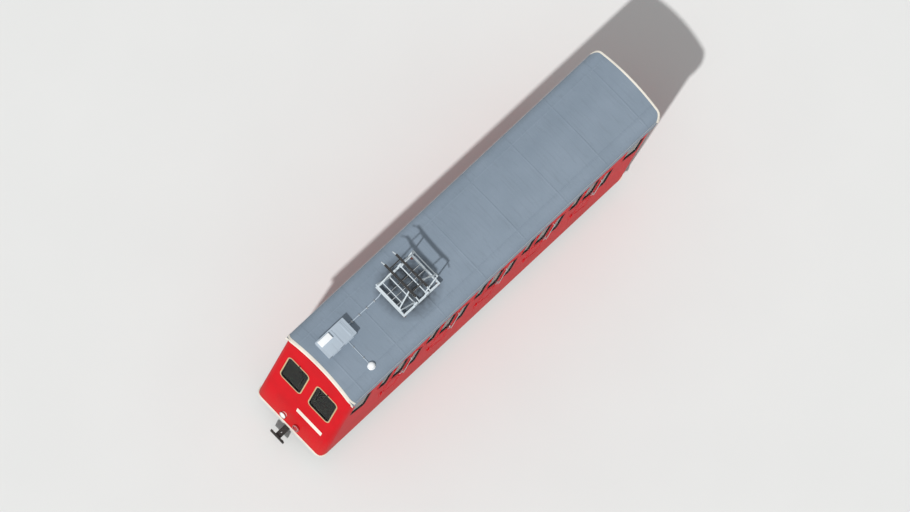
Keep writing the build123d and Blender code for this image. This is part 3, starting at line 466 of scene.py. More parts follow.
# %% Dress the construction nodes
DOORS = sorted(n for n in nodes if n.startswith("door_") and n[-1].isdigit())
WALLS = ["side_panels_left", "side_panels_right", "door_surrounds_left", "door_surrounds_right",
         "end_wall_valley", "end_wall_hill"]
DRESS = {
    RED: WALLS + DOORS,
    ROOF: ["roof"],
    CASE_PAINT: ["roof_case"],
    HORN: ["roof_horn"],
    GLASS: ["side_glass_left", "side_glass_right", "end_glass_valley", "end_glass_hill"],
    FLOOR: ["floor_treads"],
    LAMINATE: ["partitions"],
    WOOD: ["benches"],
    DESK: ["control_desks"],
    LEATHER: ["driver_stools"],
    FRAME_BLACK: ["solebars", "headstocks", "cross_members", "floor_stringers", "axle_boxes", "rail_guards",
                  "draw_gear_valley", "draw_gear_hill"],
    SPRING: ["leaf_springs"],
    GEAR: [n for n in nodes if n.startswith("pinion_")],
    DRIVE_GREY: ["drive_gearbox", "brake_gearbox", "drive_motor"],
    CAST: ["brake_drum"],
    WHITE_LENS: ["head_lamps"],
    RED_LENS: ["tail_lamps"],
    PAN_GREY: [n for n in nodes if n.startswith("pantograph_") and n != "pantograph_insulators"],
    GLAZE: ["pantograph_insulators"],
    WHEEL["valley"]: ["wheelset_valley"],
    WHEEL["hill"]: ["wheelset_hill"],
}
for mat, members in DRESS.items():
    for node in members:
        nodes[node].data.materials.clear()
        nodes[node].data.materials.append(mat)
print("dressed", sum(len(m) for m in DRESS.values()), "of", len(nodes))

# %% [markdown]
# The car is lined with cream laminate, and its walls, doors and roof are single
# solids, so the faces that look inwards get a second material. A face belongs to
# the lining if it lies deeper than most of the wall and looks towards the middle.

# %% Line the inside
LINING_DEEP = 0.030
END_ZONE = 4.0
LOOKS_IN, LOOKS_DOWN = 0.1, 0.15
NEARLY = 1e-4
shell_low, shell_high = islands("end_wall_valley")[0][0], islands("end_wall_hill")[0][1]
shell_mid = (shell_low.x + shell_high.x) / 2


def line_inside(node):
    """Gives the inward faces of a wall, door or roof the lining."""
    mesh = nodes[node].data
    mesh.materials.append(LAMINATE)
    back, count = LEVEL.inverted(), 0
    for face in mesh.polygons:
        p, n = back @ face.center, back.to_3x3() @ face.normal
        deep = min(shell_high.y - abs(p.y), p.x - shell_low.x, shell_high.x - p.x)
        inward = -n.y * math.copysign(1.0, p.y) if shell_high.y - abs(p.y) <= deep + NEARLY else 0.0
        if abs(p.x - shell_mid) > END_ZONE:
            inward = max(inward, n.x * math.copysign(1.0, shell_mid - p.x))
        if node == "roof":
            inward, deep = -face.normal.z if face.normal.z < -LOOKS_DOWN else inward, 1.0
        if deep > LINING_DEEP and inward > LOOKS_IN:
            face.material_index = 1
            count += 1
    return count


print("lining faces", sum(line_inside(n) for n in WALLS + DOORS + ["roof"]))

# %% [markdown]
# Many pieces here are a section drawn along a path: gaskets, frames, tubes, slats
# and beads. One Geometry Nodes tree sweeps a rounded bar and one a round tube, and
# their sizes are named inputs. The paths are plain edges that the script draws flat,
# and "Z up" keeps a bar's section from turning where its path leaves the plane.

# %% Start and end of a tree


def new_tree(name, sizes):
    """A geometry tree with a material and named sizes as its inputs."""
    tree = bpy.data.node_groups.new(name, "GeometryNodeTree")
    face = tree.interface
    face.new_socket("Geometry", in_out="INPUT", socket_type="NodeSocketGeometry")
    for label, default in sizes:
        kind = "NodeSocketInt" if isinstance(default, int) else "NodeSocketFloat"
        face.new_socket(label, in_out="INPUT", socket_type=kind).default_value = default
    face.new_socket("Finish", in_out="INPUT", socket_type="NodeSocketMaterial")
    face.new_socket("Geometry", in_out="OUTPUT", socket_type="NodeSocketGeometry")
    return tree, add(tree, "NodeGroupInput").outputs


def end_tree(tree, shape, finish_socket):
    """Realize, give the finish and put out."""
    real = add(tree, "GeometryNodeRealizeInstances", {0: shape}).outputs[0]
    done = add(tree, "GeometryNodeSetMaterial", {"Geometry": real, "Material": finish_socket}).outputs[0]
    add(tree, "NodeGroupOutput", {0: done})
    print("tree", tree.name)
    return tree


# %% The sweeping trees


def sweep_tree(name, sizes, profile):
    """Draws the section that a function gives along the edges of the drawing."""
    tree, given = new_tree(name, sizes)
    path = add(tree, "GeometryNodeMeshToCurve", {0: given["Geometry"]}).outputs[0]
    path = add(tree, "GeometryNodeSetCurveNormal", {"Curve": path}, mode="Z_UP").outputs[0]
    body = add(tree, "GeometryNodeCurveToMesh", {"Fill Caps": True, "Curve": path,
               "Profile Curve": profile(tree, given)}).outputs[0]
    return end_tree(tree, body, given["Finish"])


def bar_section(tree, given):
    """A rectangle with rounded corners."""
    flat = add(tree, "GeometryNodeCurvePrimitiveQuadrilateral", {"Width": given["Wide"],
               "Height": given["Tall"]}).outputs[0]
    return add(tree, "GeometryNodeFilletCurve", {"Count": 2, "Curve": flat, "Radius": given["Corner"]},
               mode="POLY").outputs[0]


def tube_section(tree, given):
    """A circle."""
    return add(tree, "GeometryNodeCurvePrimitiveCircle", {"Resolution": given["Sides"],
               "Radius": given["Radius"]}).outputs[0]


BAR = sweep_tree("swept bar", [("Wide", 0.02), ("Tall", 0.01), ("Corner", 0.002)], bar_section)
TUBE = sweep_tree("swept tube", [("Radius", 0.01), ("Sides", 14)], tube_section)

# %% [markdown]
# Screws, rivets and bolt heads are one small shape on many points. The tree puts a
# tapered disc on each point and turns it to the point's "out" direction. Six sides
# make a bolt head, eight to sixteen a rivet, a screw, a rail's foot or a button.

# %% The stud tree


def stud_tree():
    """A tapered disc on each point of the drawing, turned to its "out" direction."""
    tree, given = new_tree("studs on points",
                           [("Radius", 0.006), ("Height", 0.004), ("Sides", 6), ("Taper", 0.8)])
    points = add(tree, "GeometryNodeMeshToPoints", {0: given["Geometry"]}).outputs[0]
    top = add(tree, "ShaderNodeMath", {0: given["Radius"], 1: given["Taper"]},
              operation="MULTIPLY").outputs[0]
    head = add(tree, "GeometryNodeMeshCone", {"Vertices": given["Sides"], "Radius Top": top,
               "Radius Bottom": given["Radius"], "Depth": given["Height"]}).outputs[0]
    out = add(tree, "GeometryNodeInputNamedAttribute", {"Name": "out"}, data_type="FLOAT_VECTOR").outputs[0]
    turn = add(tree, "FunctionNodeAlignRotationToVector", {"Vector": out}, axis="Z").outputs[0]
    heads = add(tree, "GeometryNodeInstanceOnPoints", {"Points": points, "Instance": head,
                "Rotation": turn}).outputs[0]
    return end_tree(tree, heads, given["Finish"])


STUDS = stud_tree()

# %% [markdown]
# A tree runs as a modifier on a drawing, which is a mesh of loose edges or points.
# Its sizes are set by each socket's identifier before the drawing is first
# evaluated. The result is kept as one plain mesh and the modifier goes, so that the
# piece rides on its body as any mesh does.

# %% Run a tree on a drawing
SHARP_FROM = math.radians(35)


def own(obj, body):
    """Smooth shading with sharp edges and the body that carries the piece."""
    for face in obj.data.polygons:
        face.use_smooth = True
    obj.data.set_sharp_from_angle(angle=SHARP_FROM)
    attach(obj, body)
    return obj


def grow(name, tree, drawing, mat, body, slot_name, space=AS_BUILT, **sizes):
    """Runs a tree on drawn paths or points and keeps the result as one plain mesh."""
    mesh = bpy.data.meshes.new(name)
    mesh.from_pydata(*drawing[:2], [])
    if len(drawing) > 2:
        layer = mesh.attributes.new("out", "FLOAT_VECTOR", "POINT")
        layer.data.foreach_set("vector", [c for v in drawing[2] for c in v])
    start = bpy.data.objects.new(name + " start", mesh)
    bpy.context.scene.collection.objects.link(start)
    mod = start.modifiers.new("grow", "NODES")
    mod.node_group = tree
    for item in tree.interface.items_tree:
        if item.in_out == "INPUT" and item.name in sizes:
            mod[item.identifier] = sizes[item.name]
        if item.in_out == "INPUT" and item.name == "Finish":
            mod[item.identifier] = mat
    view = bpy.context.evaluated_depsgraph_get()
    made = bpy.data.meshes.new_from_object(start.evaluated_get(view))
    bpy.data.objects.remove(start)
    made.name = name
    made.transform(space)
    obj = bpy.data.objects.new(name, made)
    bpy.context.scene.collection.objects.link(obj)
    return own(obj, body)


print("drawings are grown by", grow.__name__)

# %% [markdown]
# Three drawing helpers: lines of points joined by edges, points with a direction,
# and the outline of a rectangle with round corners.

# %% Draw paths, points and outlines


def paths(lines):
    """Points and edges of several lines, each (points, closed)."""
    points, edges = [], []
    for line, closed in lines:
        first = len(points)
        points += [tuple(p) for p in line]
        edges += [(first + i, first + i + 1) for i in range(len(line) - 1)]
        if closed:
            edges.append((len(points) - 1, first))
    return points, edges


def spots(rows):
    """Points with an outward direction, from rows of (point, out)."""
    return [tuple(p) for p, _ in rows], [], [tuple(o) for _, o in rows]


def round_rect(x, y, wide, high, radius, steps=5):
    """Points round a rectangle with round corners."""
    out = []
    for i, (sx, sy) in enumerate(((1, 1), (-1, 1), (-1, -1), (1, -1))):
        cx, cy = x + sx * (wide / 2 - radius), y + sy * (high / 2 - radius)
        for k in range(steps + 1):
            a = math.pi / 2 * (i + k / steps)
            out.append((cx + radius * math.cos(a), cy + radius * math.sin(a)))
    return out


print("points round a window", len(round_rect(0, 0, 1, 1, 0.1)))

# %% [markdown]
# Plates, blocks and turned parts are single shapes, so bmesh makes them: a closed
# prism from an outline, and a ring of faces from a profile. A Bevel modifier rounds
# their edges and is applied, because real sheet and castings have no sharp edge.

# %% Plates, blocks and turned shapes
BEVEL_FROM = math.radians(40)
ON_AXIS = 1e-6


def prism(bm, outline, low, high, space=AS_BUILT):
    """A closed plate: an outline in XY from height low to high, then placed."""
    bottom = [bm.verts.new(space @ Vector((x, y, low))) for x, y in outline]
    top = [bm.verts.new(space @ Vector((x, y, high))) for x, y in outline]
    bm.faces.new(bottom[::-1])
    bm.faces.new(top)
    for i in range(len(outline)):
        j = (i + 1) % len(outline)
        bm.faces.new((bottom[i], bottom[j], top[j], top[i]))


def block(bm, low, high, space=AS_BUILT):
    """A rectangular block between two corners."""
    outline = [(low[0], low[1]), (high[0], low[1]), (high[0], high[1]), (low[0], high[1])]
    prism(bm, outline, low[2], high[2], space)


def turned(bm, profile, space=AS_BUILT, sides=28):
    """A shape turned about Z from (radius, height) points, closed where the radius is 0."""
    rings = []
    turns = [2 * math.pi * i / sides for i in range(sides)]
    for radius, height in profile:
        if radius < ON_AXIS:
            rings.append([bm.verts.new(space @ Vector((0, 0, height)))])
        else:
            rings.append([bm.verts.new(space @ Vector((radius * math.cos(a), radius * math.sin(a), height)))
                          for a in turns])
    for low, high in zip(rings[:-1], rings[1:]):
        for i in range(sides):
            j = (i + 1) % sides
            corners = [low[i % len(low)], low[j % len(low)], high[j % len(high)], high[i % len(high)]]
            face = [v for k, v in enumerate(corners) if v not in corners[:k]]
            if len(face) > 2:
                bm.faces.new(face)


def stand(at, out, up=(0, 0, 1)):
    """A placement: local Z points out, local Y up, local origin at a point."""
    z = Vector(out).normalized()
    x = Vector(up).cross(z).normalized()
    y = z.cross(x)
    return Matrix(((x.x, y.x, z.x, at[0]), (x.y, y.y, z.y, at[1]), (x.z, y.z, z.z, at[2]), (0, 0, 0, 1)))


def piece(name, bm, mat, body, slot_name, bevel=0.0, segments=2):
    """A finished piece from a bmesh, its edges rounded by bevel."""
    bmesh.ops.recalc_face_normals(bm, faces=bm.faces)
    mesh = bpy.data.meshes.new(name)
    bm.to_mesh(mesh)
    bm.free()
    obj = bpy.data.objects.new(name, mesh)
    bpy.context.scene.collection.objects.link(obj)
    if bevel:
        mod = obj.modifiers.new("edge", "BEVEL")
        mod.width, mod.segments, mod.limit_method = bevel, segments, "ANGLE"
        mod.angle_limit = BEVEL_FROM
        view = bpy.context.evaluated_depsgraph_get()
        obj.data = bpy.data.meshes.new_from_object(obj.evaluated_get(view))
        obj.modifiers.clear()
    obj.data.materials.clear()
    obj.data.materials.append(mat)
    return own(obj, body)


print("shapes become pieces by", piece.__name__)

# %% [markdown]
# Everything on a wall is drawn flat and stood up by a plane: flat X and Y become the
# wall's own directions and flat Z points out of it. The planes lie on the outer
# faces of the two sides and the two ends, which are measured on the construction.

# %% Planes of the sides and ends
SIDES = (("left", 1), ("right", -1))
ENDS = (("valley", -1), ("hill", 1))
HALF_WIDE = nodes["door_surrounds_left"].bound_box[6][1]
END_FACE = {"valley": shell_low.x, "hill": shell_high.x}


def side_plane(side):
    """Flat X and Y become level x and z on the outer face of one side."""
    flip = Matrix(((1, 0, 0, 0), (0, 0, side, side * HALF_WIDE), (0, 1, 0, 0), (0, 0, 0, 1)))
    return LEVEL @ flip


def end_plane(end, face_x):
    """Flat X and Y become level y and z on the outer face of one end."""
    flip = Matrix(((0, 0, end, face_x), (1, 0, 0, 0), (0, 1, 0, 0), (0, 0, 0, 1)))
    return LEVEL @ flip


print("half width", round(HALF_WIDE, 4), "end faces", {k: round(v, 3) for k, v in END_FACE.items()})

# %% [markdown]
# Each pane sits in a black rubber gasket that lines the opening in the wall, with a
# lip on both sides, and outside it a thin raised frame. On the sides it is painted
# with the wall, and the photograph shows only dark panes there. On the ends it is
# sand coloured, as in the photograph. All the windows of one wall lie in one plane,
# so their loops are drawn flat, swept once and stood up together.

# %% Windows of the sides and ends
WALL = 0.045
GASKET_WIDE = 0.016
GASKET_PROUD = 0.003
GASKET_EDGE = 0.002
TRIM_WIDE = 0.030
TRIM_THICK = 0.005
TRIM_EDGE = 0.0015
WINDOW_R = {"side": 0.060, "end": 0.090}


def window_set(name, panes, radius, plane, body, trim, trim_slot):
    """Gaskets and outside frames for a list of (x, y, wide, high) in one plane."""
    inset, outset = [], []
    for x, y, wide, high in panes:
        gasket = round_rect(x, y, wide - GASKET_WIDE, high - GASKET_WIDE, radius - GASKET_WIDE / 2)
        frame_loop = round_rect(x, y, wide + TRIM_WIDE, high + TRIM_WIDE, radius + TRIM_WIDE / 2)
        inset.append(([(px, py, -WALL / 2) for px, py in gasket], True))
        outset.append(([(px, py, TRIM_THICK / 2) for px, py in frame_loop], True))
    grow(name + "_gaskets", BAR, paths(inset), RUBBER, body, "stool_cover", plane,
         Wide=GASKET_WIDE, Tall=WALL + 2 * GASKET_PROUD, Corner=GASKET_EDGE)
    grow(name + "_frames", BAR, paths(outset), trim, body, trim_slot, plane,
         Wide=TRIM_WIDE, Tall=TRIM_THICK, Corner=TRIM_EDGE)


for name, side in SIDES:
    panes = []
    for low, high in islands("side_glass_" + name):
        mid = (low + high) / 2
        panes.append((mid.x, mid.z, high.x - low.x, high.z - low.z))
    window_set("side_windows_" + name, panes, WINDOW_R["side"], side_plane(side), "car_body", RED,
               "red_paint")
    print(name, "side windows", len(panes))
for name, end in ENDS:
    panes = []
    for low, high in islands("end_glass_" + name):
        mid = (low + high) / 2
        panes.append((mid.y, mid.z, high.y - low.y, high.z - low.z))
    window_set("end_windows_" + name, panes, WINDOW_R["end"], end_plane(end, END_FACE[name]), "car_body",
               SAND, "roof_paint")
    print(name, "end windows", len(panes))

# %% [markdown]
# A door is a flush steel leaf. It gets its own pane and gasket, a pressed bead on
# its lower panel and a lever handle on a plate. Everything rides on the leaf and
# swings with it, and nothing crosses the gap round it.

# %% Doors
HINGE_BACK = 0.003
DOOR_WINDOW = (0.380, 0.760)
DOOR_WINDOW_UP = 0.874
PANE_FIT = 0.0006
PANE_IN = (-0.0265, -0.0185)
BEAD = (0.400, 0.560)
BEAD_UP, BEAD_R = 0.500, 0.03
BEAD_WIDE, BEAD_THICK = 0.022, 0.008
HANDLE_UP, HANDLE_IN = 0.800, 0.045
BACK_PLATE = (0.044, 0.170, 0.018)
BACK_PLATE_THICK = 0.005
SPINDLE = [(0, 0.004), (0.012, 0.004), (0.012, 0.022), (0, 0.022)]
SPINDLE_UP = 0.05
GRIP = (0.120, 0.020, 0.009)
GRIP_BACK = 0.042
GRIP_OUT = (0.016, 0.028)


def leaf_span(node):
    """Level x of hinge and latch edge, and the level z of the foot and head of a leaf."""
    low, high = islands(node)[0]
    hinge = LEVEL.inverted() @ Vector(joints[node + "_swing"]["pos_m"])
    return hinge.x + HINGE_BACK, high.x, low.z, high.z


def door_window(node, plane):
    """The leaf's window: gasket, frame and pane."""
    x0, x1, z0, z1 = leaf_span(node)
    mid, centre = (x0 + x1) / 2, z0 + DOOR_WINDOW_UP + DOOR_WINDOW[1] / 2
    window_set(node + "_window", [(mid, centre, *DOOR_WINDOW)], WINDOW_R["side"], plane, node, RED,
               "red_paint")
    bm = bmesh.new()
    pane = round_rect(mid, centre, *(size - PANE_FIT for size in DOOR_WINDOW), WINDOW_R["side"])
    prism(bm, pane, *PANE_IN, plane)
    piece(node + "_pane", bm, GLASS, node, "window_glass")


def door_metalwork(node, plane):
    """The bead pressed in the lower panel, and the lever handle on its plate."""
    x0, x1, z0, z1 = leaf_span(node)
    outline = round_rect((x0 + x1) / 2, z0 + BEAD_UP, *BEAD, BEAD_R)
    loop = [(px, py, BEAD_THICK / 4) for px, py in outline]
    grow(node + "_bead", BAR, paths([(loop, True)]), RED, node, "red_paint", plane,
         Wide=BEAD_WIDE, Tall=BEAD_THICK, Corner=0.003)
    bm = bmesh.new()
    hx, hz = x1 - HANDLE_IN, z0 + HANDLE_UP
    prism(bm, round_rect(hx, hz, *BACK_PLATE, 4), 0.0, BACK_PLATE_THICK, plane)
    turned(bm, SPINDLE, plane @ Matrix.Translation((hx, hz + SPINDLE_UP, 0)), 16)
    prism(bm, round_rect(hx - GRIP_BACK, hz + SPINDLE_UP, *GRIP, 4), *GRIP_OUT, plane)
    piece(node + "_handle", bm, STAINLESS, node, "wheel_steel", bevel=0.0015)


for node in DOORS:
    plane = side_plane(1 if "left" in node else -1)
    door_window(node, plane)
    door_metalwork(node, plane)
print("doors", len(DOORS), "leaf", [round(v, 3) for v in leaf_span(DOORS[0])])

# %% [markdown]
# Round each doorway the body has a rubber stop that the leaf shuts against, and on
# the latch side an upright grab rail of stainless tube on two feet. The rails stand
# clear of the leaf's path by more than a centimetre.

# %% Door stops and grab rails
STOP = (0.030, 0.012)
STOP_IN = 0.004
STOP_R = 0.02
STOP_BEHIND = 0.007
RAIL_R = 0.011
RAIL_OFF = 0.026
RAIL_UP = (0.70, 1.42)
RAIL_BEND = 0.012
RAIL_KNEE = 0.6
RAIL_FROM_LEAF = 0.022
RAIL_FOOT = (0.018, 0.006)


def rail_line(x, low, high):
    """A grab rail's line with two short bends, from foot to foot."""
    return [(x, low, 0.0), (x, low, RAIL_OFF * RAIL_KNEE), (x, low + RAIL_BEND, RAIL_OFF),
            (x, high - RAIL_BEND, RAIL_OFF), (x, high, RAIL_OFF * RAIL_KNEE), (x, high, 0.0)]


for name, side in SIDES:
    plane = side_plane(side)
    stops, rails, feet = [], [], []
    for node in [d for d in DOORS if name in d]:
        x0, x1, z0, z1 = leaf_span(node)
        loop = round_rect((x0 + x1) / 2, (z0 + z1) / 2, x1 - x0 - 2 * STOP_IN, z1 - z0 - 2 * STOP_IN,
                          STOP_R, 3)
        stops.append(([(px, py, -WALL - STOP_BEHIND) for px, py in loop], True))
        x = x1 + RAIL_FROM_LEAF
        rails.append((rail_line(x, z0 + RAIL_UP[0], z0 + RAIL_UP[1]), False))
        feet += [((x, z0 + up, RAIL_FOOT[1] / 3), (0, 0, 1)) for up in RAIL_UP]
    grow("door_stops_" + name, BAR, paths(stops), RUBBER, "car_body", "stool_cover", plane,
         Wide=STOP[0], Tall=STOP[1], Corner=0.003)
    grow("grab_rails_" + name, TUBE, paths(rails), STAINLESS, "car_body", "wheel_steel", plane,
         Radius=RAIL_R)
    grow("grab_rail_feet_" + name, STUDS, spots(feet), STAINLESS, "car_body", "wheel_steel", plane,
         Radius=RAIL_FOOT[0], Height=RAIL_FOOT[1], Sides=16)
    print(name, "stops", len(stops), "rails", len(rails))

# %% [markdown]
# The valley end carries a blank pale stripe, and both ends have a cream line along
# their foot. They are thin enamelled strips: the stripe is a flat plate, the line a
# strip that goes round the corners.

# %% Stripe and foot lines
STRIPE = (0.84, 0.140, 0.01)
STRIPE_MID_Y = -0.41
STRIPE_UP = 0.86
STRIPE_OUT = (-0.001, 0.002)
FOOT_LINE, FOOT_THICK = 0.070, 0.004
FOOT_UP = 0.004
FOOT_PROUD = 0.3
END_CORNER = 0.180
BENDS = 6
skirt_z = islands("side_panels_left", AS_BUILT)[0][0].z


def foot_level(name):
    """Level z of an end's lower edge."""
    return END_FACE[name] * math.tan(LEAN) + skirt_z / math.cos(LEAN)


def round_the_corners():
    """(y, depth) points of an end's line, round the corner, across and round the other."""
    half = HALF_WIDE - END_CORNER
    bends = [math.pi / 2 * k / BENDS for k in range(BENDS + 1)]
    arc = [(half + END_CORNER * math.sin(a), -END_CORNER * (1 - math.cos(a))) for a in bends]
    return [(-y, depth) for y, depth in arc[::-1]] + arc


for name, end in ENDS:
    line = [(y, foot_level(name) + depth * end * math.tan(LEAN) + FOOT_LINE / 2 + FOOT_UP,
             depth + FOOT_THICK * FOOT_PROUD) for y, depth in round_the_corners()]
    grow("foot_line_" + name, BAR, paths([(line, False)]), CREAM, "car_body", "roof_paint",
         end_plane(end, END_FACE[name]), Wide=FOOT_LINE, Tall=FOOT_THICK, Corner=0.001)
bm = bmesh.new()
plate = round_rect(STRIPE_MID_Y, foot_level("valley") + STRIPE_UP, *STRIPE, 3)
prism(bm, plate, *STRIPE_OUT, end_plane(-1, END_FACE["valley"]))
piece("blank_stripe_valley", bm, CREAM, "car_body", "roof_paint")
print("foot of the valley end", round(foot_level("valley"), 3))

# %% [markdown]
# Each lamp has a stainless rim screwed round its lens, and the lens is domed. Both
# are turned from a profile and stood up on the lamp's face, because a turned
# profile gives the rolled lip that catches the light.

# %% Lamps
RIM = [(0.086, -0.03), (0.094, -0.03), (0.094, 0.006), (0.088, 0.010), (0.080, 0.008), (0.080, 0.002),
       (0.086, -0.002), (0.086, -0.03)]
DOME = [(0, 0.016), (0.03, 0.0145), (0.055, 0.011), (0.072, 0.006), (0.079, 0.001), (0.079, -0.004),
        (0, -0.004)]
LAMP_SIDES = 36
for kind, lens, lens_slot in (("head_lamps", WHITE_LENS, "lamp_white"),
                              ("tail_lamps", RED_LENS, "lamp_red")):
    rims, domes = bmesh.new(), bmesh.new()
    for low, high in islands(kind):
        end = -1 if low.x < 0 else 1
        mid = (low + high) / 2
        spot = LEVEL @ stand((low.x if end < 0 else high.x, mid.y, mid.z), (end, 0, 0))
        turned(rims, RIM, spot, LAMP_SIDES)
        turned(domes, DOME, spot, LAMP_SIDES)
    piece(kind + "_rims", rims, STAINLESS, "car_body", "wheel_steel")
    piece(kind + "_lenses", domes, lens, "car_body", lens_slot)
    print(kind, len(islands(kind)))

# %% [markdown]
# The wiper of each end window turns on a short shaft above the pane. Its arm and
# rubber blade are parked towards the middle pillar. Arms and blades are straight
# tubes, thin enough to read as rods.

# %% Wipers
SHAFT = [(0, -0.004), (0.020, -0.004), (0.020, 0.008), (0.010, 0.012), (0.010, 0.026), (0, 0.026)]
SHAFT_OVER_PANE = 0.045
SHAFT_OUT, ARM_OUT, BLADE_IN = 0.004, 0.020, 0.008
TIP_ACROSS, TIP_DOWN = 0.22, 0.40
BLADE_UP, BLADE_DOWN = 0.24, 0.20
ARM_R, BLADE_R = 0.005, 0.006
arms, blades = [], []
bm = bmesh.new()
for name, end in ENDS:
    for low, high in islands("end_glass_" + name):
        inward = -1 if low.y > 0 else 1
        top, y = high.z + SHAFT_OVER_PANE, (low.y + high.y) / 2
        foot = END_FACE[name] + end * SHAFT_OUT
        arm_x = foot + end * ARM_OUT
        turned(bm, SHAFT, LEVEL @ stand((foot, y, top), (end, 0, 0)), 20)
        tip_y, tip_z = y + inward * TIP_ACROSS, high.z - TIP_DOWN
        arms.append(([(arm_x, y, top), (arm_x, tip_y, tip_z)], False))
        blade_x = arm_x - end * BLADE_IN
        blades.append(([(blade_x, tip_y, tip_z + BLADE_UP), (blade_x, tip_y, tip_z - BLADE_DOWN)], False))
piece("wiper_shafts", bm, FRAME_BLACK, "car_body", "frame_paint", bevel=0.001)
grow("wiper_arms", TUBE, paths(arms), FRAME_BLACK, "car_body", "frame_paint", LEVEL,
     Radius=ARM_R, Sides=10)
grow("wiper_blades", TUBE, paths(blades), RUBBER, "car_body", "stool_cover", LEVEL,
     Radius=BLADE_R, Sides=8)
print("wipers", len(arms))

# %% [markdown]
# The side sheets are riveted to the posts beside each doorway and painted over.
# Each row is a list of points up a post. The hinge straps have round-headed screws:
# those on the leaf ride on the leaf, those on the post on the body.

# %% Side rivets and hinge screws
OUT = (0, 0, 1)
RIVETS_UP = 24
RIVET_END = 0.02
RIVET_Z = 0.0008
BESIDE_HINGE, BESIDE_LATCH = 0.024, 0.048
STRAPS_UP = (0.28, 1.48)
LEAF_STRAP, POST_STRAP = -0.006, -0.008
SCREWS_UP = (0.012, 0.058)
SCREWS_OUT = (0.024, 0.048)
STRAP_FACE = 0.006
SCREW = {"Radius": 0.0055, "Height": 0.002, "Sides": 12, "Taper": 0.8}
for name, side in SIDES:
    rivets, post_screws = [], []
    for node in [d for d in DOORS if name in d]:
        x0, x1, z0, z1 = leaf_span(node)
        for k in range(RIVETS_UP):
            z = z0 + RIVET_END + (z1 - z0 - 2 * RIVET_END) * k / (RIVETS_UP - 1)
            rivets += [((x, z, RIVET_Z), OUT) for x in (x0 - BESIDE_HINGE, x1 + BESIDE_LATCH)]
        hinge_x = x0 - HINGE_BACK
        leaf_screws = []
        for up in STRAPS_UP:
            for dz in SCREWS_UP:
                for dx in SCREWS_OUT:
                    leaf_screws.append(((hinge_x + dx, z0 + LEAF_STRAP + up + dz, STRAP_FACE), OUT))
                    post_screws.append(((hinge_x - dx, z0 + POST_STRAP + up - dz, STRAP_FACE), OUT))
        grow(node + "_screws", STUDS, spots(leaf_screws), ZINC, node, "horn_metal", side_plane(side),
             **SCREW)
    grow("hinge_screws_" + name, STUDS, spots(post_screws), ZINC, "car_body", "horn_metal",
         side_plane(side), **SCREW)
    grow("side_rivets_" + name, STUDS, spots(rivets), RED, "car_body", "red_paint", side_plane(side),
         Radius=0.006, Height=0.003, Sides=10, Taper=0.6)
    print(name, "rivets", len(rivets), "post screws", len(post_screws))

# %% [markdown]
# The roof is sheet over hoops: a flat arc with round shoulders down to upright
# edges. One function gives a point of that section, pushed out by any amount, so
# that seams, gutters and the cream cornice at both ends follow the same line.

# %% Points of the roof's section
ROOF_LOW, ROOF_HIGH = islands("roof", AS_BUILT)[0]
SHOULDER_R = 0.250
CROWN_R = 4.2272
CROWN_MID = ROOF_HIGH.z - CROWN_R
SHOULDER_Y = ROOF_HIGH.y - SHOULDER_R
SHOULDER_Z = CROWN_MID + math.sqrt((CROWN_R - SHOULDER_R) ** 2 - SHOULDER_Y ** 2)
TURN = math.atan2(SHOULDER_Y, SHOULDER_Z - CROWN_MID)
CROWN_STEPS, SHOULDER_STEPS = 16, 10


def roof_at(angle, out=0.0):
    """(y, z) of the roof's skin where its outward direction leans by angle from upright."""
    s, c = math.sin(angle), math.cos(angle)
    if abs(angle) <= TURN:
        return (CROWN_R + out) * s, CROWN_MID + (CROWN_R + out) * c
    y = math.copysign(SHOULDER_Y, angle)
    return y + (SHOULDER_R + out) * s, SHOULDER_Z + (SHOULDER_R + out) * c


def roof_angle(y):
    """How far the skin's outward direction leans at a distance y from the middle."""
    if abs(y) < CROWN_R * math.sin(TURN):
        return math.asin(y / CROWN_R)
    return math.copysign(math.asin(min(1.0, (abs(y) - SHOULDER_Y) / SHOULDER_R)), y)


def section(out, reach=math.pi / 2):
    """The section's points from right to left, closer together round the shoulders."""
    bends = [TURN + (reach - TURN) * k / SHOULDER_STEPS for k in range(SHOULDER_STEPS + 1)]
    arc = [-TURN + 2 * TURN * k / CROWN_STEPS for k in range(1, CROWN_STEPS)]
    return [roof_at(a, out) for a in [-a for a in bends[::-1]] + arc + bends]


print("shoulder turns at", round(math.degrees(TURN), 1), "degrees, half width", round(ROOF_HIGH.y, 3))

# %% [markdown]
# The roof's ends are upright on the slope, so in the frame their place along X
# changes with height. One function gives it. Points across the car are drawn in a
# turned space whose Z is the car's X: there "Z up" lays the strip flat on the skin.

# %% Ends of the roof
ROOF_OVER = 0.050
ROOF_ENDS = {-1: END_FACE["valley"] - ROOF_OVER, 1: END_FACE["hill"] + ROOF_OVER}
SIN, COS = math.sin(LEAN), math.cos(LEAN)
ACROSS = Matrix(((0, 0, 1, 0), (1, 0, 0, 0), (0, 1, 0, 0), (0, 0, 0, 1)))


def end_x(end, z, back=0.0):
    """The frame's X of the roof's end plane at height z, back from the edge."""
    return (ROOF_ENDS[end] - end * back + z * SIN) / COS


print("roof from", round(end_x(-1, ROOF_HIGH.z), 3), "to", round(end_x(1, ROOF_HIGH.z), 3))

# %% [markdown]
# Sheets are joined by covering strips with a row of rivets on both edges: hoops
# across about every 1.4 m, and on each side a long strip 0.79 m from the middle. Such
# strips are drawn as lines and swept. Their rivets are points with a direction.

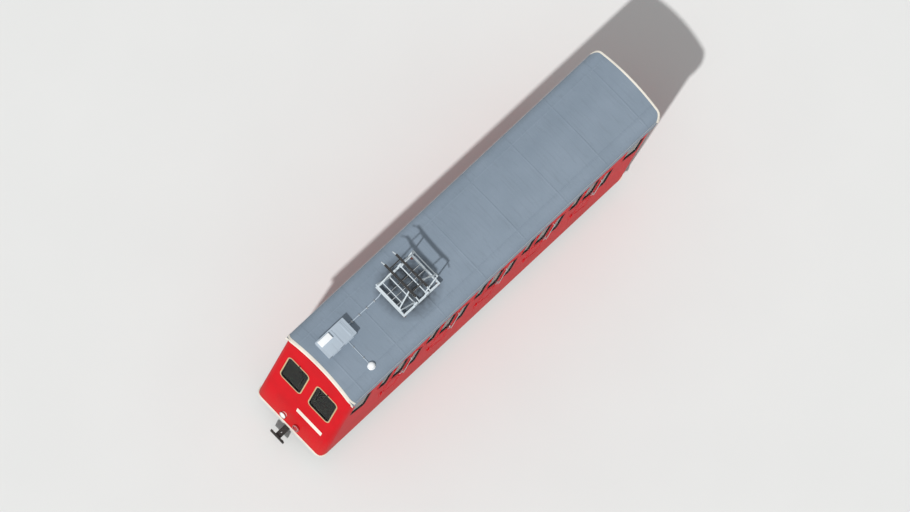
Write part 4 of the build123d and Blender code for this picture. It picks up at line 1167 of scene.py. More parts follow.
# %% Roof seams and rivets
HOOP_STEP = 1.40
HOOP_IN = 0.35
HOOP_REACH = 1.36
STRIP_WIDE, STRIP_THICK, STRIP_EDGE = 0.046, 0.003, 0.0012
SEAM_Y = 0.79
SEAM_IN = 0.06
HOOP_RIVET, HOOP_ROW = 0.055, 0.016
HOOP_RIVETS = 20
SEAM_RIVET, SEAM_ROW = 0.07, 0.015
first, last = end_x(-1, ROOF_HIGH.z) + HOOP_IN, end_x(1, ROOF_LOW.z) - HOOP_IN
count = round((last - first) / HOOP_STEP)
hoops, seams, rivets = [], [], []
for k in range(count + 1):
    x = first + (last - first) * k / count
    hoops.append(([(y, z, x) for y, z in section(STRIP_THICK / 2, HOOP_REACH)], False))
    for i in range(-HOOP_RIVETS, HOOP_RIVETS + 1):
        angle = roof_angle(HOOP_RIVET * i)
        py, pz = roof_at(angle, STRIP_THICK)
        out = (0, math.sin(angle), math.cos(angle))
        rivets += [((x + dx, py, pz), out) for dx in (-HOOP_ROW, HOOP_ROW)]
for side in (-1, 1):
    angle = roof_angle(side * SEAM_Y)
    y, z = roof_at(angle, STRIP_THICK / 2)
    x0, x1 = end_x(-1, z, SEAM_IN), end_x(1, z, SEAM_IN)
    out = (0, math.sin(angle), math.cos(angle))
    seams.append(([(x0, y, z), (x1, y, z)], False))
    for i in range(1, int((x1 - x0) / SEAM_RIVET)):
        rivets += [((x0 + i * SEAM_RIVET, y + dy, z + STRIP_THICK / 2 - dy * math.tan(angle)), out)
                   for dy in (-SEAM_ROW, SEAM_ROW)]
grow("roof_hoop_strips", BAR, paths(hoops), ROOF, "car_body", "roof_paint", ACROSS,
     Wide=STRIP_THICK, Tall=STRIP_WIDE, Corner=STRIP_EDGE)
grow("roof_long_strips", BAR, paths(seams), ROOF, "car_body", "roof_paint",
     Wide=STRIP_WIDE, Tall=STRIP_THICK, Corner=STRIP_EDGE)
grow("roof_rivets", STUDS, spots(rivets), ROOF, "car_body", "roof_paint",
     Radius=0.0045, Height=0.003, Sides=8, Taper=0.6)
print("hoops", len(hoops), "rivets", len(rivets))

# %% [markdown]
# Rain runs along a gutter tube on both shoulders, and a cream enamelled cornice
# covers the roof's edge at each end: a band on the end's face and a lip folded over
# onto the skin, which is the light line that the photograph shows. It goes round the
# corners of the roof with the wall, so its path steps back by the corner's circle.
# The lip stops on the shoulder, so that it stands no wider than the roof.

# %% Gutters and cornices
GUTTER_ANGLE = math.radians(62)
GUTTER_R = 0.008
GUTTER_SEAT = 0.6
GUTTER_IN = 0.16
CORNER_HALF = 1.160
CORNER_R = 0.200
CORNICE = (0.070, 0.008)
LIP = (0.050, 0.004)
LIP_REACH = math.radians(70)
SUNK, HILL_SUNK = 0.001, 0.002
gutters = []
for side in (-1, 1):
    y, z = roof_at(side * GUTTER_ANGLE, GUTTER_R * GUTTER_SEAT)
    gutters.append(([(end_x(-1, z, GUTTER_IN), y, z), (end_x(1, z, GUTTER_IN), y, z)], False))
grow("roof_gutters", TUBE, paths(gutters), ALLOY, "car_body", "horn_metal", Radius=GUTTER_R)


def set_back(y):
    """How far the corner's circle lies behind the end's face at y."""
    over = max(0.0, abs(y) - (CORNER_HALF - CORNER_R))
    return CORNER_R - math.sqrt(max(0.0, CORNER_R ** 2 - over ** 2))


for name, end in ENDS:
    band, lip = [], []
    for y, z in section(-CORNICE[0] / 2 - SUNK):
        back = set_back(y) + (CORNICE[1] / 2 - HILL_SUNK if end > 0 else -CORNICE[1] / 2)
        level_x = ROOF_ENDS[end] - end * back
        band.append((y, level_x * SIN / COS + z / COS, end * (level_x - ROOF_ENDS[end])))
    grow("cornice_" + name, BAR, paths([(band, False)]), CREAM, "car_body", "roof_paint",
         end_plane(end, ROOF_ENDS[end]), Wide=CORNICE[0], Tall=CORNICE[1], Corner=0.002)
    over = CORNICE[1] - SUNK if end < 0 else 0.0
    for y, z in section(LIP[1] / 2 - SUNK, LIP_REACH):
        lip.append((y, z, end_x(end, z, set_back(y) + LIP[0] / 2 - over)))
    grow("cornice_lip_" + name, BAR, paths([(lip, False)]), CREAM, "car_body", "roof_paint", ACROSS,
         Wide=LIP[1], Tall=LIP[0], Corner=0.0015)
    print("cornice", name, "points", len(band), len(lip))

# %% [markdown]
# The roof case holds switchgear. It has a lid with a rounded rim, stiffened by two
# ribs and bolted along both sides. On the lid's left half stands a white fuse box:
# the brightest spot on the roof in the photograph.

# %% Roof case
CASE_LOW, CASE_HIGH = islands("roof_case", AS_BUILT)[0]
CASE_LONG = CASE_HIGH.x - CASE_LOW.x
CASE_MID = (CASE_LOW + CASE_HIGH) / 2
LID_OVER, LID_R = 0.012, 0.02
LID_DOWN, LID_UP = 0.026, 0.008
RIBS = (0.50, 0.82)
RIB_WIDE, RIB_TALL, RIB_END = 0.05, 0.016, 0.03
FUSE_LOW, FUSE_HIGH = Vector((0.045, -0.190, 0.004)), Vector((0.375, -0.040, 0.070))
COVER_OVER, COVER_DOWN, COVER_UP = 0.008, 0.012, 0.004
CASE_BOLTS, BOLT_FIRST, BOLT_STEP = 5, 0.06, 0.187
bm = bmesh.new()
lid = round_rect(CASE_MID.x, CASE_MID.y, CASE_LONG + 2 * LID_OVER,
                 CASE_HIGH.y - CASE_LOW.y + 2 * LID_OVER, LID_R, 3)
prism(bm, lid, CASE_HIGH.z - LID_DOWN, CASE_HIGH.z + LID_UP)
for t in RIBS:
    x = CASE_LOW.x + CASE_LONG * t
    block(bm, (x, CASE_LOW.y + RIB_END, CASE_HIGH.z),
          (x + RIB_WIDE, CASE_HIGH.y - RIB_END, CASE_HIGH.z + RIB_TALL))
piece("roof_case_lid", bm, CASE_PAINT, "car_body", "roof_paint", bevel=0.005, segments=3)
bm = bmesh.new()
lid_corner = Vector((CASE_LOW.x, CASE_HIGH.y, CASE_HIGH.z))
fuse_low, fuse_high = lid_corner + FUSE_LOW, lid_corner + FUSE_HIGH
block(bm, fuse_low, fuse_high)
block(bm, (fuse_low.x - COVER_OVER, fuse_low.y - COVER_OVER, fuse_high.z - COVER_DOWN),
      (fuse_high.x + COVER_OVER, fuse_high.y + COVER_OVER, fuse_high.z + COVER_UP))
piece("roof_fuse_box", bm, HORN, "car_body", "horn_metal", bevel=0.005, segments=3)
bolts = []
for k in range(CASE_BOLTS):
    for side, face in ((-1, CASE_LOW.y), (1, CASE_HIGH.y)):
        bolts.append(((CASE_LOW.x + BOLT_FIRST + k * BOLT_STEP, face + side * (LID_OVER + 0.001),
                       CASE_HIGH.z - 0.01), (0, side, 0)))
grow("roof_case_bolts", STUDS, spots(bolts), ZINC, "car_body", "horn_metal", Radius=0.008, Height=0.006,
     Sides=6)
print("case", [round(v, 3) for v in CASE_HIGH - CASE_LOW], "bolts", len(bolts))

# %% [markdown]
# Both long sides of the case have two banks of louvres. A louvre is a short bar that
# slopes down and out, so its bank is drawn in a space tilted about X and swept.

# %% Louvres
LOUVRE_LONG, LOUVRE_WIDE, LOUVRE_THICK = 0.26, 0.018, 0.005
LOUVRE_TILT = math.radians(24)
LOUVRE_STEP, LOUVRES = 0.024, 5
LOUVRE_TOP, LOUVRE_OUT = 0.060, 0.003
BANKS = (0.27, 0.73)
for name, side, face in (("right", -1, CASE_LOW.y), ("left", 1, CASE_HIGH.y)):
    tilt = Matrix.Rotation(-side * LOUVRE_TILT, 4, "X")
    slats = []
    for bank in BANKS:
        x = CASE_LOW.x + CASE_LONG * bank
        for k in range(LOUVRES):
            at = Vector((x, face + side * LOUVRE_OUT, CASE_HIGH.z - LOUVRE_TOP - LOUVRE_STEP * k))
            half = Vector((LOUVRE_LONG / 2, 0, 0))
            slats.append(([tilt.inverted() @ (at - half), tilt.inverted() @ (at + half)], False))
    grow("roof_case_louvres_" + name, BAR, paths(slats), CASE_PAINT, "car_body", "roof_paint", tilt,
         Wide=LOUVRE_WIDE, Tall=LOUVRE_THICK, Corner=0.0015)
    print(name, "louvres", len(slats))

# %% [markdown]
# The horn on the right is a white domed cover over its trumpet, with a flange on the
# roof. It is turned from one profile, and it replaces the plain one.

# %% Horn
HORN_LOW, HORN_HIGH = islands("roof_horn", AS_BUILT)[0]
HORN_AT = (HORN_LOW + HORN_HIGH) / 2
HORN_R = (HORN_HIGH.x - HORN_LOW.x) / 2
skin = roof_at(roof_angle(HORN_AT.y))[1]
profile = [(0, HORN_HIGH.z), (0.035, HORN_HIGH.z - 0.004), (0.066, HORN_HIGH.z - 0.018),
           (0.084, HORN_HIGH.z - 0.042), (0.089, HORN_HIGH.z - 0.070), (0.089, skin + 0.014),
           (0.098, skin + 0.010), (HORN_R, skin + 0.004), (HORN_R, skin - 0.02), (0, skin - 0.02)]
bm = bmesh.new()
turned(bm, profile, Matrix.Translation((HORN_AT.x, HORN_AT.y, 0)), 40)
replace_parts(piece("roof_horn_dome", bm, HORN, "car_body", "horn_metal"), "roof_horn")
print("horn at", [round(v, 3) for v in HORN_AT])

# %% [markdown]
# A conduit runs from the case to the horn, and a painted pipe with the main cable
# runs to the pantograph. Both are clipped down. They lie on the skin, so their paths
# take their height from the roof's section.

# %% Conduit, main cable and clips
CONDUIT_R, CONDUIT_STEPS = 0.011, 8
CABLE_R, CABLE_Y = 0.015, 0.30
SEATED = 0.9
CLIPS = 4
CLIP_LOW, CLIP_HIGH = Vector((-0.012, -0.032, -0.006)), Vector((0.012, 0.032, 0.034))
SMALL_CLIP_LOW, SMALL_CLIP_HIGH = Vector((-0.024, -0.010, -0.016)), Vector((0.024, 0.010, 0.015))
CLIPPED_STEPS = (2, 6)
PAN_LOW, PAN_HIGH = islands("pantograph_base", AS_BUILT)[0]


def on_roof(x, y, out):
    """A point above the roof's skin."""
    return (x, *roof_at(roof_angle(y), out))


y0, y1 = HORN_AT.y + HORN_R - 0.01, CASE_LOW.y
conduit = [on_roof(HORN_AT.x, y0 + (y1 - y0) * t / CONDUIT_STEPS, CONDUIT_R * SEATED)
           for t in range(CONDUIT_STEPS + 1)]
grow("horn_conduit", TUBE, paths([(conduit, False)]), CASE_PAINT, "car_body", "roof_paint",
     Radius=CONDUIT_R)
run = [on_roof(x, CABLE_Y, CABLE_R * SEATED)
       for x in (CASE_HIGH.x - 0.01, CASE_HIGH.x + 0.05, PAN_LOW.x - 0.14)]
rise = [(PAN_LOW.x - 0.07, CABLE_Y, run[-1][2] + 0.03), (PAN_LOW.x - 0.03, CABLE_Y, PAN_LOW.z - 0.01),
        (PAN_LOW.x - 0.004, CABLE_Y, PAN_LOW.z + 0.025), (PAN_LOW.x + 0.01, CABLE_Y, PAN_LOW.z + 0.026)]
grow("pantograph_main_cable", TUBE, paths([(run + rise, False)]), CASE_PAINT, "car_body", "roof_paint",
     Radius=CABLE_R)
bm = bmesh.new()
first_clip, last_clip = CASE_HIGH.x + 0.12, PAN_LOW.x - 0.22
for k in range(CLIPS):
    at = Vector(on_roof(first_clip + (last_clip - first_clip) * k / (CLIPS - 1), CABLE_Y, 0))
    block(bm, at + CLIP_LOW, at + CLIP_HIGH)
for step in CLIPPED_STEPS:
    at = Vector(conduit[step])
    block(bm, at + SMALL_CLIP_LOW, at + SMALL_CLIP_HIGH)
piece("roof_cable_clips", bm, ZINC, "car_body", "horn_metal", bevel=0.003)
print("cable run", round(PAN_LOW.x - CASE_HIGH.x, 3))

# %% [markdown]
# The pantograph stands on four brown porcelain insulators with sheds that keep
# rain from joining roof and base. A shed is a step in the turned profile, and the
# profile repeats once for each. They replace the construction's plain posts.

# %% Insulators
STEM_R, FOOT_R, HEAD_R = 0.024, 0.044, 0.040
SHEDS = 4
SHED = ((STEM_R, 0.0), (0.0445, 0.18), (0.0445, 0.34), (STEM_R, 0.85))
FIRST_SHED, LAST_SHED = 0.022, 0.014
bm = bmesh.new()
for low, high in islands("pantograph_insulators", AS_BUILT):
    mid = (low + high) / 2
    foot = roof_at(roof_angle(mid.y))[1]
    rows = [(0, foot - 0.012), (FOOT_R, foot - 0.012), (FOOT_R, foot + 0.014), (STEM_R, foot + 0.018)]
    step = (high.z - LAST_SHED - foot - FIRST_SHED) / SHEDS
    for k in range(SHEDS):
        rows += [(r, foot + FIRST_SHED + step * (k + t)) for r, t in SHED]
    rows += [(STEM_R, high.z - LAST_SHED), (HEAD_R, high.z - 0.012), (HEAD_R, high.z), (0, high.z)]
    turned(bm, rows, Matrix.Translation((mid.x, mid.y, 0)), 32)
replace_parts(piece("insulator_sheds", bm, GLAZE, "car_body", "insulator_ceramic"), "pantograph_insulators")
print("insulators", len(islands("pantograph_insulators")))

# %% [markdown]
# The contact strips on the head are carbon on steel. The head's own upper faces get
# a second material, because a separate strip would stand higher than the head does.

# %% Carbon of the contact strips
CARBON_TALL = 0.018
NOT_UNDERSIDE = -0.5
head = nodes["pantograph_head"].data
head.materials.append(CARBON)
head_top = max(v.co.z for v in head.vertices)
carbon_faces = [f for f in head.polygons
                if f.center.z > head_top - CARBON_TALL and f.normal.z > NOT_UNDERSIDE]
for face in carbon_faces:
    face.material_index = 1
print("carbon faces", len(carbon_faces))

# %% [markdown]
# Two raising springs lie along the base and a damper rod between them. Each spring
# is wound round a rod and is swept along a helix. Small bolts hold the bearings.

# %% Springs and bolts of the pantograph
PIVOT = Vector(joints["pantograph_raise"]["pos_m"])
PIVOT_HILL = Vector(joints["pantograph_lower_hill_turn"]["pos_m"])
SPRING_TURNS, STEPS_A_TURN = 14, 12
SPRING_R, SPRING_Y = 0.024, 0.17
SPRING_UP, DAMPER_UP = 0.030, 0.026
WINDING_R, ROD_R = 0.0045, 0.009
ROD_IN = 0.02
BEARING_BOLT_OUT, BEARING_BOLT_DOWN = 0.035, 0.02
FOOT_BOLT_IN, FOOT_BOLT_UP = 0.05, 0.054
steps = SPRING_TURNS * STEPS_A_TURN
half = abs(PIVOT_HILL.x - PIVOT.x) / 2 - 0.035
helices, rods, bolts = [], [], []
for y in (-SPRING_Y, SPRING_Y):
    helix = []
    for k in range(steps + 1):
        a = 2 * math.pi * k / STEPS_A_TURN
        helix.append((pan_mid.x - half + 2 * half * k / steps, y + SPRING_R * math.cos(a),
                      PAN_LOW.z + SPRING_UP + SPRING_R * math.sin(a)))
    helices.append((helix, False))
for y, up in ((-SPRING_Y, SPRING_UP), (SPRING_Y, SPRING_UP), (0.0, DAMPER_UP)):
    z = PAN_LOW.z + up
    rods.append(([(PAN_LOW.x + ROD_IN, y, z), (PAN_HIGH.x - ROD_IN, y, z)], False))
grow("pantograph_springs", TUBE, paths(helices), SPRING, "car_body", "spring_steel",
     Radius=WINDING_R, Sides=8)
grow("pantograph_spring_rods", TUBE, paths(rods), STAINLESS, "car_body", "wheel_steel", Radius=ROD_R)
for sy in (-1, 1):
    for x in (PIVOT.x, PIVOT_HILL.x):
        bolts += [((x + dx, sy * (PAN_HIGH.y + 0.002), PAN_HIGH.z - BEARING_BOLT_DOWN), (0, sy, 0))
                  for dx in (-BEARING_BOLT_OUT, BEARING_BOLT_OUT)]
    for x in (PAN_LOW.x + FOOT_BOLT_IN, PAN_HIGH.x - FOOT_BOLT_IN):
        bolts.append(((x, sy * (PAN_HIGH.y - FOOT_BOLT_IN), PAN_LOW.z + FOOT_BOLT_UP), OUT))
grow("pantograph_bolts", STUDS, spots(bolts), ZINC, "car_body", "horn_metal", Radius=0.012, Height=0.010,
     Sides=6)
print("pantograph base", [round(v, 3) for v in PAN_LOW], [round(v, 3) for v in PAN_HIGH])

# %% [markdown]
# Inside, seen through the glass: two facing benches in each room. A bench is seven
# varnished ash slats on pressed steel legs, and three wider slats against the
# partition make its back. The slats are swept, so every length has rounded edges.

# %% Benches
SEAT_SLAT = (0.046, 0.018)
SEAT_SLATS, SLAT_STEP, FIRST_SLAT = 7, 0.056, 0.040
SEAT_DOWN, SEAT_FALL, SEAT_END = 0.010, 0.0022, 0.008
BACK_SLAT = (0.070, 0.016)
BACK_UP, BACK_END = (0.53, 0.62, 0.71), 0.03
BACK_OFF, BACK_LEAN = 0.010, 0.06
SLAT_EDGE = 0.005
LEG_Y, LEG_THICK = (-0.95, 0.0, 0.95), 0.012
TREAD_EDGE = 0.02
seats, backs = [], []
bm = bmesh.new()
treads = islands("floor_treads")[1:-1]
benches = islands("benches")
for low, high in benches:
    tread = [t for t in treads if t[0].x - TREAD_EDGE < (low.x + high.x) / 2 < t[1].x + TREAD_EDGE][0]
    floor_z = tread[1].z
    back = -1 if low.x + high.x < tread[0].x + tread[1].x else 1
    wall = low.x if back < 0 else high.x
    for k in range(SEAT_SLATS):
        x = wall - back * (FIRST_SLAT + SLAT_STEP * k)
        z = high.z - SEAT_DOWN - SEAT_FALL * (SEAT_SLATS - 1 - k)
        seats.append(([(x, low.y + SEAT_END, z), (x, high.y - SEAT_END, z)], False))
    for up in BACK_UP:
        x, z = wall - back * (BACK_OFF + (BACK_UP[-1] - up) * BACK_LEAN), floor_z + up
        backs.append(([(x, low.y + BACK_END, z), (x, high.y - BACK_END, z)], False))
    seat = high.z - 0.024 - floor_z
    leg = [(0.03, 0), (0.07, 0), (0.10, 0.30), (0.34, 0.36), (0.39, 0.38), (0.39, seat),
           (0.008, seat - 0.012), (0.008, 0.30)]
    for y in LEG_Y:
        foot = stand((wall, y + LEG_THICK / 2 * back, floor_z), (0, back, 0))
        prism(bm, leg, 0.0, LEG_THICK, LEVEL @ foot)
grow("bench_seat_slats", BAR, paths(seats), WOOD, "car_body", "bench_wood", LEVEL,
     Wide=SEAT_SLAT[0], Tall=SEAT_SLAT[1], Corner=SLAT_EDGE)
grow("bench_back_slats", BAR, paths(backs), WOOD, "car_body", "bench_wood", LEVEL,
     Wide=BACK_SLAT[1], Tall=BACK_SLAT[0], Corner=SLAT_EDGE)
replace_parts(piece("bench_legs", bm, FRAME_BLACK, "car_body", "frame_paint", bevel=0.002), "benches")
print("slats", len(seats) + len(backs), "benches", len(benches))

# %% [markdown]
# Each cab has a desk with a sloped panel, three round gauges and a row of push
# buttons. The uphill desk is the same set turned round. The sloped panel is a prism
# along Y, and gauges and buttons stand square to its slope.

# %% Desk panels, gauges and buttons
SLOPE = Vector((0.16, 0, 0.20)).normalized()
WEDGE = [(-0.17, 0.0), (0.12, 0.0), (-0.08, 0.16), (-0.17, 0.16)]
DESK_HALF = 0.65
GAUGE_FACE = [(0, 0.006), (0.058, 0.006), (0.058, 0.0), (0, 0.0)]
GAUGE_RIM = [(0.056, 0.0), (0.068, 0.0), (0.068, 0.012), (0.060, 0.014), (0.056, 0.010), (0.056, 0.0)]
GAUGES_Y, GAUGE_X, GAUGE_Z = (-0.42, -0.22, -0.02), 0.02, 0.082
NEEDLE_LOW, NEEDLE_HIGH = (-0.0025, -0.004, 0.006), (0.0025, 0.044, 0.009)
BUTTONS, BUTTON_STEP = 8, 0.05
FIRST_BUTTON = Vector((0.045, 0.16, 0.061))


def desk_space(low, high):
    """A desk's top, with X towards the driver's room."""
    turn = 0 if low.x < 0 else math.pi
    return LEVEL @ Matrix.Translation(((low.x + high.x) / 2, 0, high.z)) @ Matrix.Rotation(turn, 4, "Z")


panels, faces, rims, buttons = bmesh.new(), bmesh.new(), bmesh.new(), []
for low, high in islands("control_desks"):
    space = desk_space(low, high)
    along_y = space @ Matrix(((1, 0, 0, 0), (0, 0, -1, DESK_HALF), (0, 1, 0, 0), (0, 0, 0, 1)))
    prism(panels, WEDGE, 0.0, 2 * DESK_HALF, along_y)
    for y in GAUGES_Y:
        spot = space @ stand((GAUGE_X, y, GAUGE_Z), SLOPE, (0, 1, 0))
        turned(faces, GAUGE_FACE, spot, 32)
        turned(rims, GAUGE_RIM, spot, 32)
        block(rims, NEEDLE_LOW, NEEDLE_HIGH, spot)
    for k in range(BUTTONS):
        along = Vector((0, BUTTON_STEP * k, 0))
        buttons.append((space @ (FIRST_BUTTON + along), space.to_3x3() @ SLOPE))
piece("desk_panels", panels, DESK, "car_body", "desk_plastic", bevel=0.006, segments=3)
piece("desk_gauge_faces", faces, DIAL, "car_body", "desk_plastic")
piece("desk_gauge_rims", rims, FRAME_BLACK, "car_body", "desk_plastic", bevel=0.001)
grow("desk_buttons", STUDS, spots(buttons), RED_LENS, "car_body", "desk_plastic",
     Radius=0.011, Height=0.016, Sides=16, Taper=0.85)
print("buttons", len(buttons))

# %% [markdown]
# On the flat of each desk stand a controller drum with its lever and a brake wheel
# with three spokes. All but the flat spokes are turned, in the desk's own space.

# %% Controller and brake wheel
DRUM = [(0, 0), (0.075, 0), (0.075, 0.05), (0.065, 0.06), (0, 0.06)]
LEVER = [(0, 0.05), (0.010, 0.05), (0.010, 0.10), (0.020, 0.105), (0.024, 0.125), (0.018, 0.145),
         (0, 0.148)]
POST = [(0, 0), (0.014, 0), (0.014, 0.12), (0, 0.12)]
WHEEL_R, WHEEL_UP, RING_R = 0.110, 0.115, 0.011
RING = [(WHEEL_R + RING_R * math.cos(math.pi * i / 4), WHEEL_UP + RING_R * math.sin(math.pi * i / 4))
        for i in range(9)]
SPOKES = 3
SPOKE_LOW, SPOKE_HIGH = (0, -0.008, 0.110), (0.105, 0.008, 0.118)
DRUM_AT, LEVER_AT, WHEEL_AT = (0.12, -0.30, 0), (0.045, 0, 0), (0.10, 0.36, 0)
knobs = bmesh.new()
for low, high in islands("control_desks"):
    space = desk_space(low, high)
    drum = space @ Matrix.Translation(DRUM_AT)
    turned(knobs, DRUM, drum, 28)
    turned(knobs, LEVER, drum @ Matrix.Translation(LEVER_AT), 18)
    wheel = space @ Matrix.Translation(WHEEL_AT)
    turned(knobs, POST, wheel, 16)
    turned(knobs, RING, wheel, 36)
    for k in range(SPOKES):
        block(knobs, SPOKE_LOW, SPOKE_HIGH, wheel @ Matrix.Rotation(2 * math.pi * k / SPOKES, 4, "Z"))
piece("desk_handles", knobs, FRAME_BLACK, "car_body", "desk_plastic", bevel=0.0015)
print("desks", len(islands("control_desks")))

# %% [markdown]
# Over the benches a tubular luggage and grab rail runs along each side under the
# ceiling, and each partition is topped by a rounded ash cap rail.

# %% Rails inside
RAIL_Y, RAIL_DOWN, RAIL_END = 0.62, 0.28, 0.86
HANGERS, HANGER_END = 7, 0.08
HANGER_HALF = (0.008, 0.003)
CEILING = -0.038
CAP = (0.048, 0.028)
caps, rails = [], []
hangers = bmesh.new()
for low, high in islands("partitions"):
    x = (low.x + high.x) / 2
    caps.append(([(x, low.y + 0.02, high.z - 0.006), (x, high.y - 0.02, high.z - 0.006)], False))
for y in (-RAIL_Y, RAIL_Y):
    z = ROOF_HIGH.z - RAIL_DOWN
    x0, x1 = end_x(-1, z, RAIL_END), end_x(1, z, RAIL_END)
    ceiling_z = roof_at(roof_angle(y), CEILING)[1]
    rails.append(([(x0, y, z), (x1, y, z)], False))
    for k in range(HANGERS):
        x = x0 + HANGER_END + (x1 - x0 - 2 * HANGER_END) * k / (HANGERS - 1)
        block(hangers, (x - HANGER_HALF[0], y - HANGER_HALF[1], z),
              (x + HANGER_HALF[0], y + HANGER_HALF[1], ceiling_z))
grow("partition_caps", BAR, paths(caps), WOOD, "car_body", "bench_wood", LEVEL,
     Wide=CAP[0], Tall=CAP[1], Corner=0.010)
grow("ceiling_rails", TUBE, paths(rails), STAINLESS, "car_body", "wheel_steel", Radius=0.014)
piece("ceiling_rail_hangers", hangers, STAINLESS, "car_body", "wheel_steel")
print("rails", len(rails), "caps", len(caps))

# %% [markdown]
# A leaf spring is a stack of steel strips, each shorter than the one above, held by
# a buckle in the middle and hung from the solebar at both ends. Each leaf is one
# swept arc. Below the main leaf the ends step in by an equal length.

# %% Leaf springs
LEAVES = 6
LEAF = (0.0094, 0.072)
LEAF_STEP = 0.010
LEAF_SHORTER = 0.125
SPRING_END_IN = 0.025
SPRING_FOOT, SPRING_HEAD, SPRING_ARCH = 0.055, 0.060, 0.93
ARC_STEPS = 8
BUCKLE_HALF, BUCKLE_OVER, BUCKLE_TALL = 0.045, 0.006, 0.072
EYE_IN, EYE_HALF, EYE_TALL = 0.012, 0.028, 0.030
BUCKLE_BOLT_X, BUCKLE_BOLT_Y, BUCKLE_BOLT_UP = 0.026, 0.010, 0.036
FRONT = Matrix(((1, 0, 0, 0), (0, 0, -1, 0), (0, 1, 0, 0), (0, 0, 0, 1)))
leaves, gear_bolts = [], []
bm = bmesh.new()
for low, high in islands("leaf_springs", AS_BUILT):
    mid = (low + high) / 2
    half = (high.x - low.x) / 2 - SPRING_END_IN
    rise = (high.z - low.z - SPRING_HEAD) * SPRING_ARCH
    for k in range(LEAVES):
        z0 = low.z + SPRING_FOOT - LEAF_STEP * k
        shares = [(1 - LEAF_SHORTER * k) * t / ARC_STEPS for t in range(-ARC_STEPS, ARC_STEPS + 1)]
        leaves.append(([(mid.x + half * s, z0 + rise * s ** 2, -mid.y) for s in shares], False))
    block(bm, (mid.x - BUCKLE_HALF, low.y - BUCKLE_OVER, low.z),
          (mid.x + BUCKLE_HALF, high.y + BUCKLE_OVER, low.z + BUCKLE_TALL))
    for sx in (-1, 1):
        x = mid.x + sx * (half - EYE_IN)
        block(bm, (x - EYE_HALF, low.y, high.z - EYE_TALL), (x + EYE_HALF, high.y, high.z))
        for sy, face in ((-1, low.y - BUCKLE_BOLT_Y), (1, high.y + BUCKLE_BOLT_Y)):
            gear_bolts.append(((mid.x + sx * BUCKLE_BOLT_X, face, low.z + BUCKLE_BOLT_UP), (0, sy, 0)))
grow("spring_leaves", BAR, paths(leaves), SPRING, "car_body", "spring_steel", FRONT,
     Wide=LEAF[0], Tall=LEAF[1], Corner=0.001)
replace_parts(piece("spring_buckles", bm, FRAME_BLACK, "car_body", "frame_paint", bevel=0.004),
            "leaf_springs")
print("leaves", len(leaves))

# %% [markdown]
# The axle boxes are castings: each gets a raised round cover with six bolts, an oil
# filler and ribs down its sides. The bolts of all four are one mesh with those of
# the springs' buckles.

# %% Axle box covers
COVER = [(0, -0.002), (0.078, -0.002), (0.078, 0.012), (0.066, 0.016), (0.050, 0.016), (0.044, 0.030),
         (0, 0.034)]
COVER_BOLTS_R, COVER_BOLTS_OUT = 0.062, 0.020
FILLER = [(0, 0), (0.013, 0), (0.013, 0.022), (0, 0.022)]
FILLER_DOWN = 0.085
BOX_RIB_X, BOX_RIB_HALF, BOX_RIB_END = 0.090, 0.006, 0.01
RIB_IN, RIB_OUT = 0.002, 0.010
bm = bmesh.new()
for low, high in islands("axle_boxes", AS_BUILT):
    sy = 1 if low.y > 0 else -1
    face = high.y if sy > 0 else low.y
    mid, axle_z = (low + high) / 2, AXLE["hill"].z
    turned(bm, COVER, stand((mid.x, face, axle_z), (0, sy, 0)), 36)
    turned(bm, FILLER, stand((mid.x, face, axle_z - FILLER_DOWN), (0, sy, 0)), 16)
    for k in range(6):
        a = math.radians(60 * k + 30)
        gear_bolts.append(((mid.x + COVER_BOLTS_R * math.cos(a), face + sy * COVER_BOLTS_OUT,
                            axle_z + COVER_BOLTS_R * math.sin(a)), (0, sy, 0)))
    y0, y1 = sorted((face - sy * RIB_IN, face + sy * RIB_OUT))
    for x in (mid.x - BOX_RIB_X, mid.x + BOX_RIB_X):
        block(bm, (x - BOX_RIB_HALF, y0, low.z + BOX_RIB_END),
              (x + BOX_RIB_HALF, y1, high.z - BOX_RIB_END))
piece("axle_box_covers", bm, CAST, "car_body", "brake_iron", bevel=0.0015)
grow("running_gear_bolts", STUDS, spots(gear_bolts), ZINC, "car_body", "horn_metal",
     Radius=0.010, Height=0.009, Sides=6)
print("bolts", len(gear_bolts))

# %% [markdown]
# Collars inside the wheels are shrunk on each axle and turn with it, so they ride on
# the wheelset. Each pinion has a nut and a ring of bolts under its guide disc, and
# they ride on the pinion.

# %% Axle collars and pinion fittings
COLLAR = [(0.062, 0), (0.076, 0), (0.076, 0.05), (0.062, 0.05), (0.062, 0)]
COLLAR_Y = 0.30
NUT = [(0, 0), (0.034, 0), (0.034, 0.006), (0, 0.006)]
NUT_UP, DISC_BOLTS_DOWN = 0.001, 0.002
DISC_BOLTS, DISC_BOLTS_R = 6, 0.10
PINIONS = [n for n in nodes if n.startswith("pinion_")]
for name, axle in AXLE.items():
    bm = bmesh.new()
    for sy in (-1, 1):
        turned(bm, COLLAR, stand((axle.x, sy * COLLAR_Y, axle.z), (0, sy, 0)), 32)
    piece("axle_collars_" + name, bm, WHEEL[name], "wheelset_" + name, "wheel_steel", bevel=0.002)
for node in PINIONS:
    at = Vector(joints[node + "_turn"]["pos_m"])
    low_z = min(v.co.z for v in nodes[node].data.vertices)
    bm = bmesh.new()
    turned(bm, NUT, stand((at.x, at.y, low_z + NUT_UP), (0, 0, -1), (1, 0, 0)), 6)
    piece(node + "_nut", bm, ZINC, node, "gear_steel", bevel=0.001)
    ring = []
    for k in range(DISC_BOLTS):
        a = 2 * math.pi * k / DISC_BOLTS
        ring.append(((at.x + DISC_BOLTS_R * math.cos(a), at.y + DISC_BOLTS_R * math.sin(a),
                      low_z - DISC_BOLTS_DOWN), (0, 0, -1)))
    grow(node + "_bolts", STUDS, spots(ring), ZINC, node, "gear_steel", Radius=0.009, Height=0.006, Sides=6)
print("pinions", len(PINIONS))

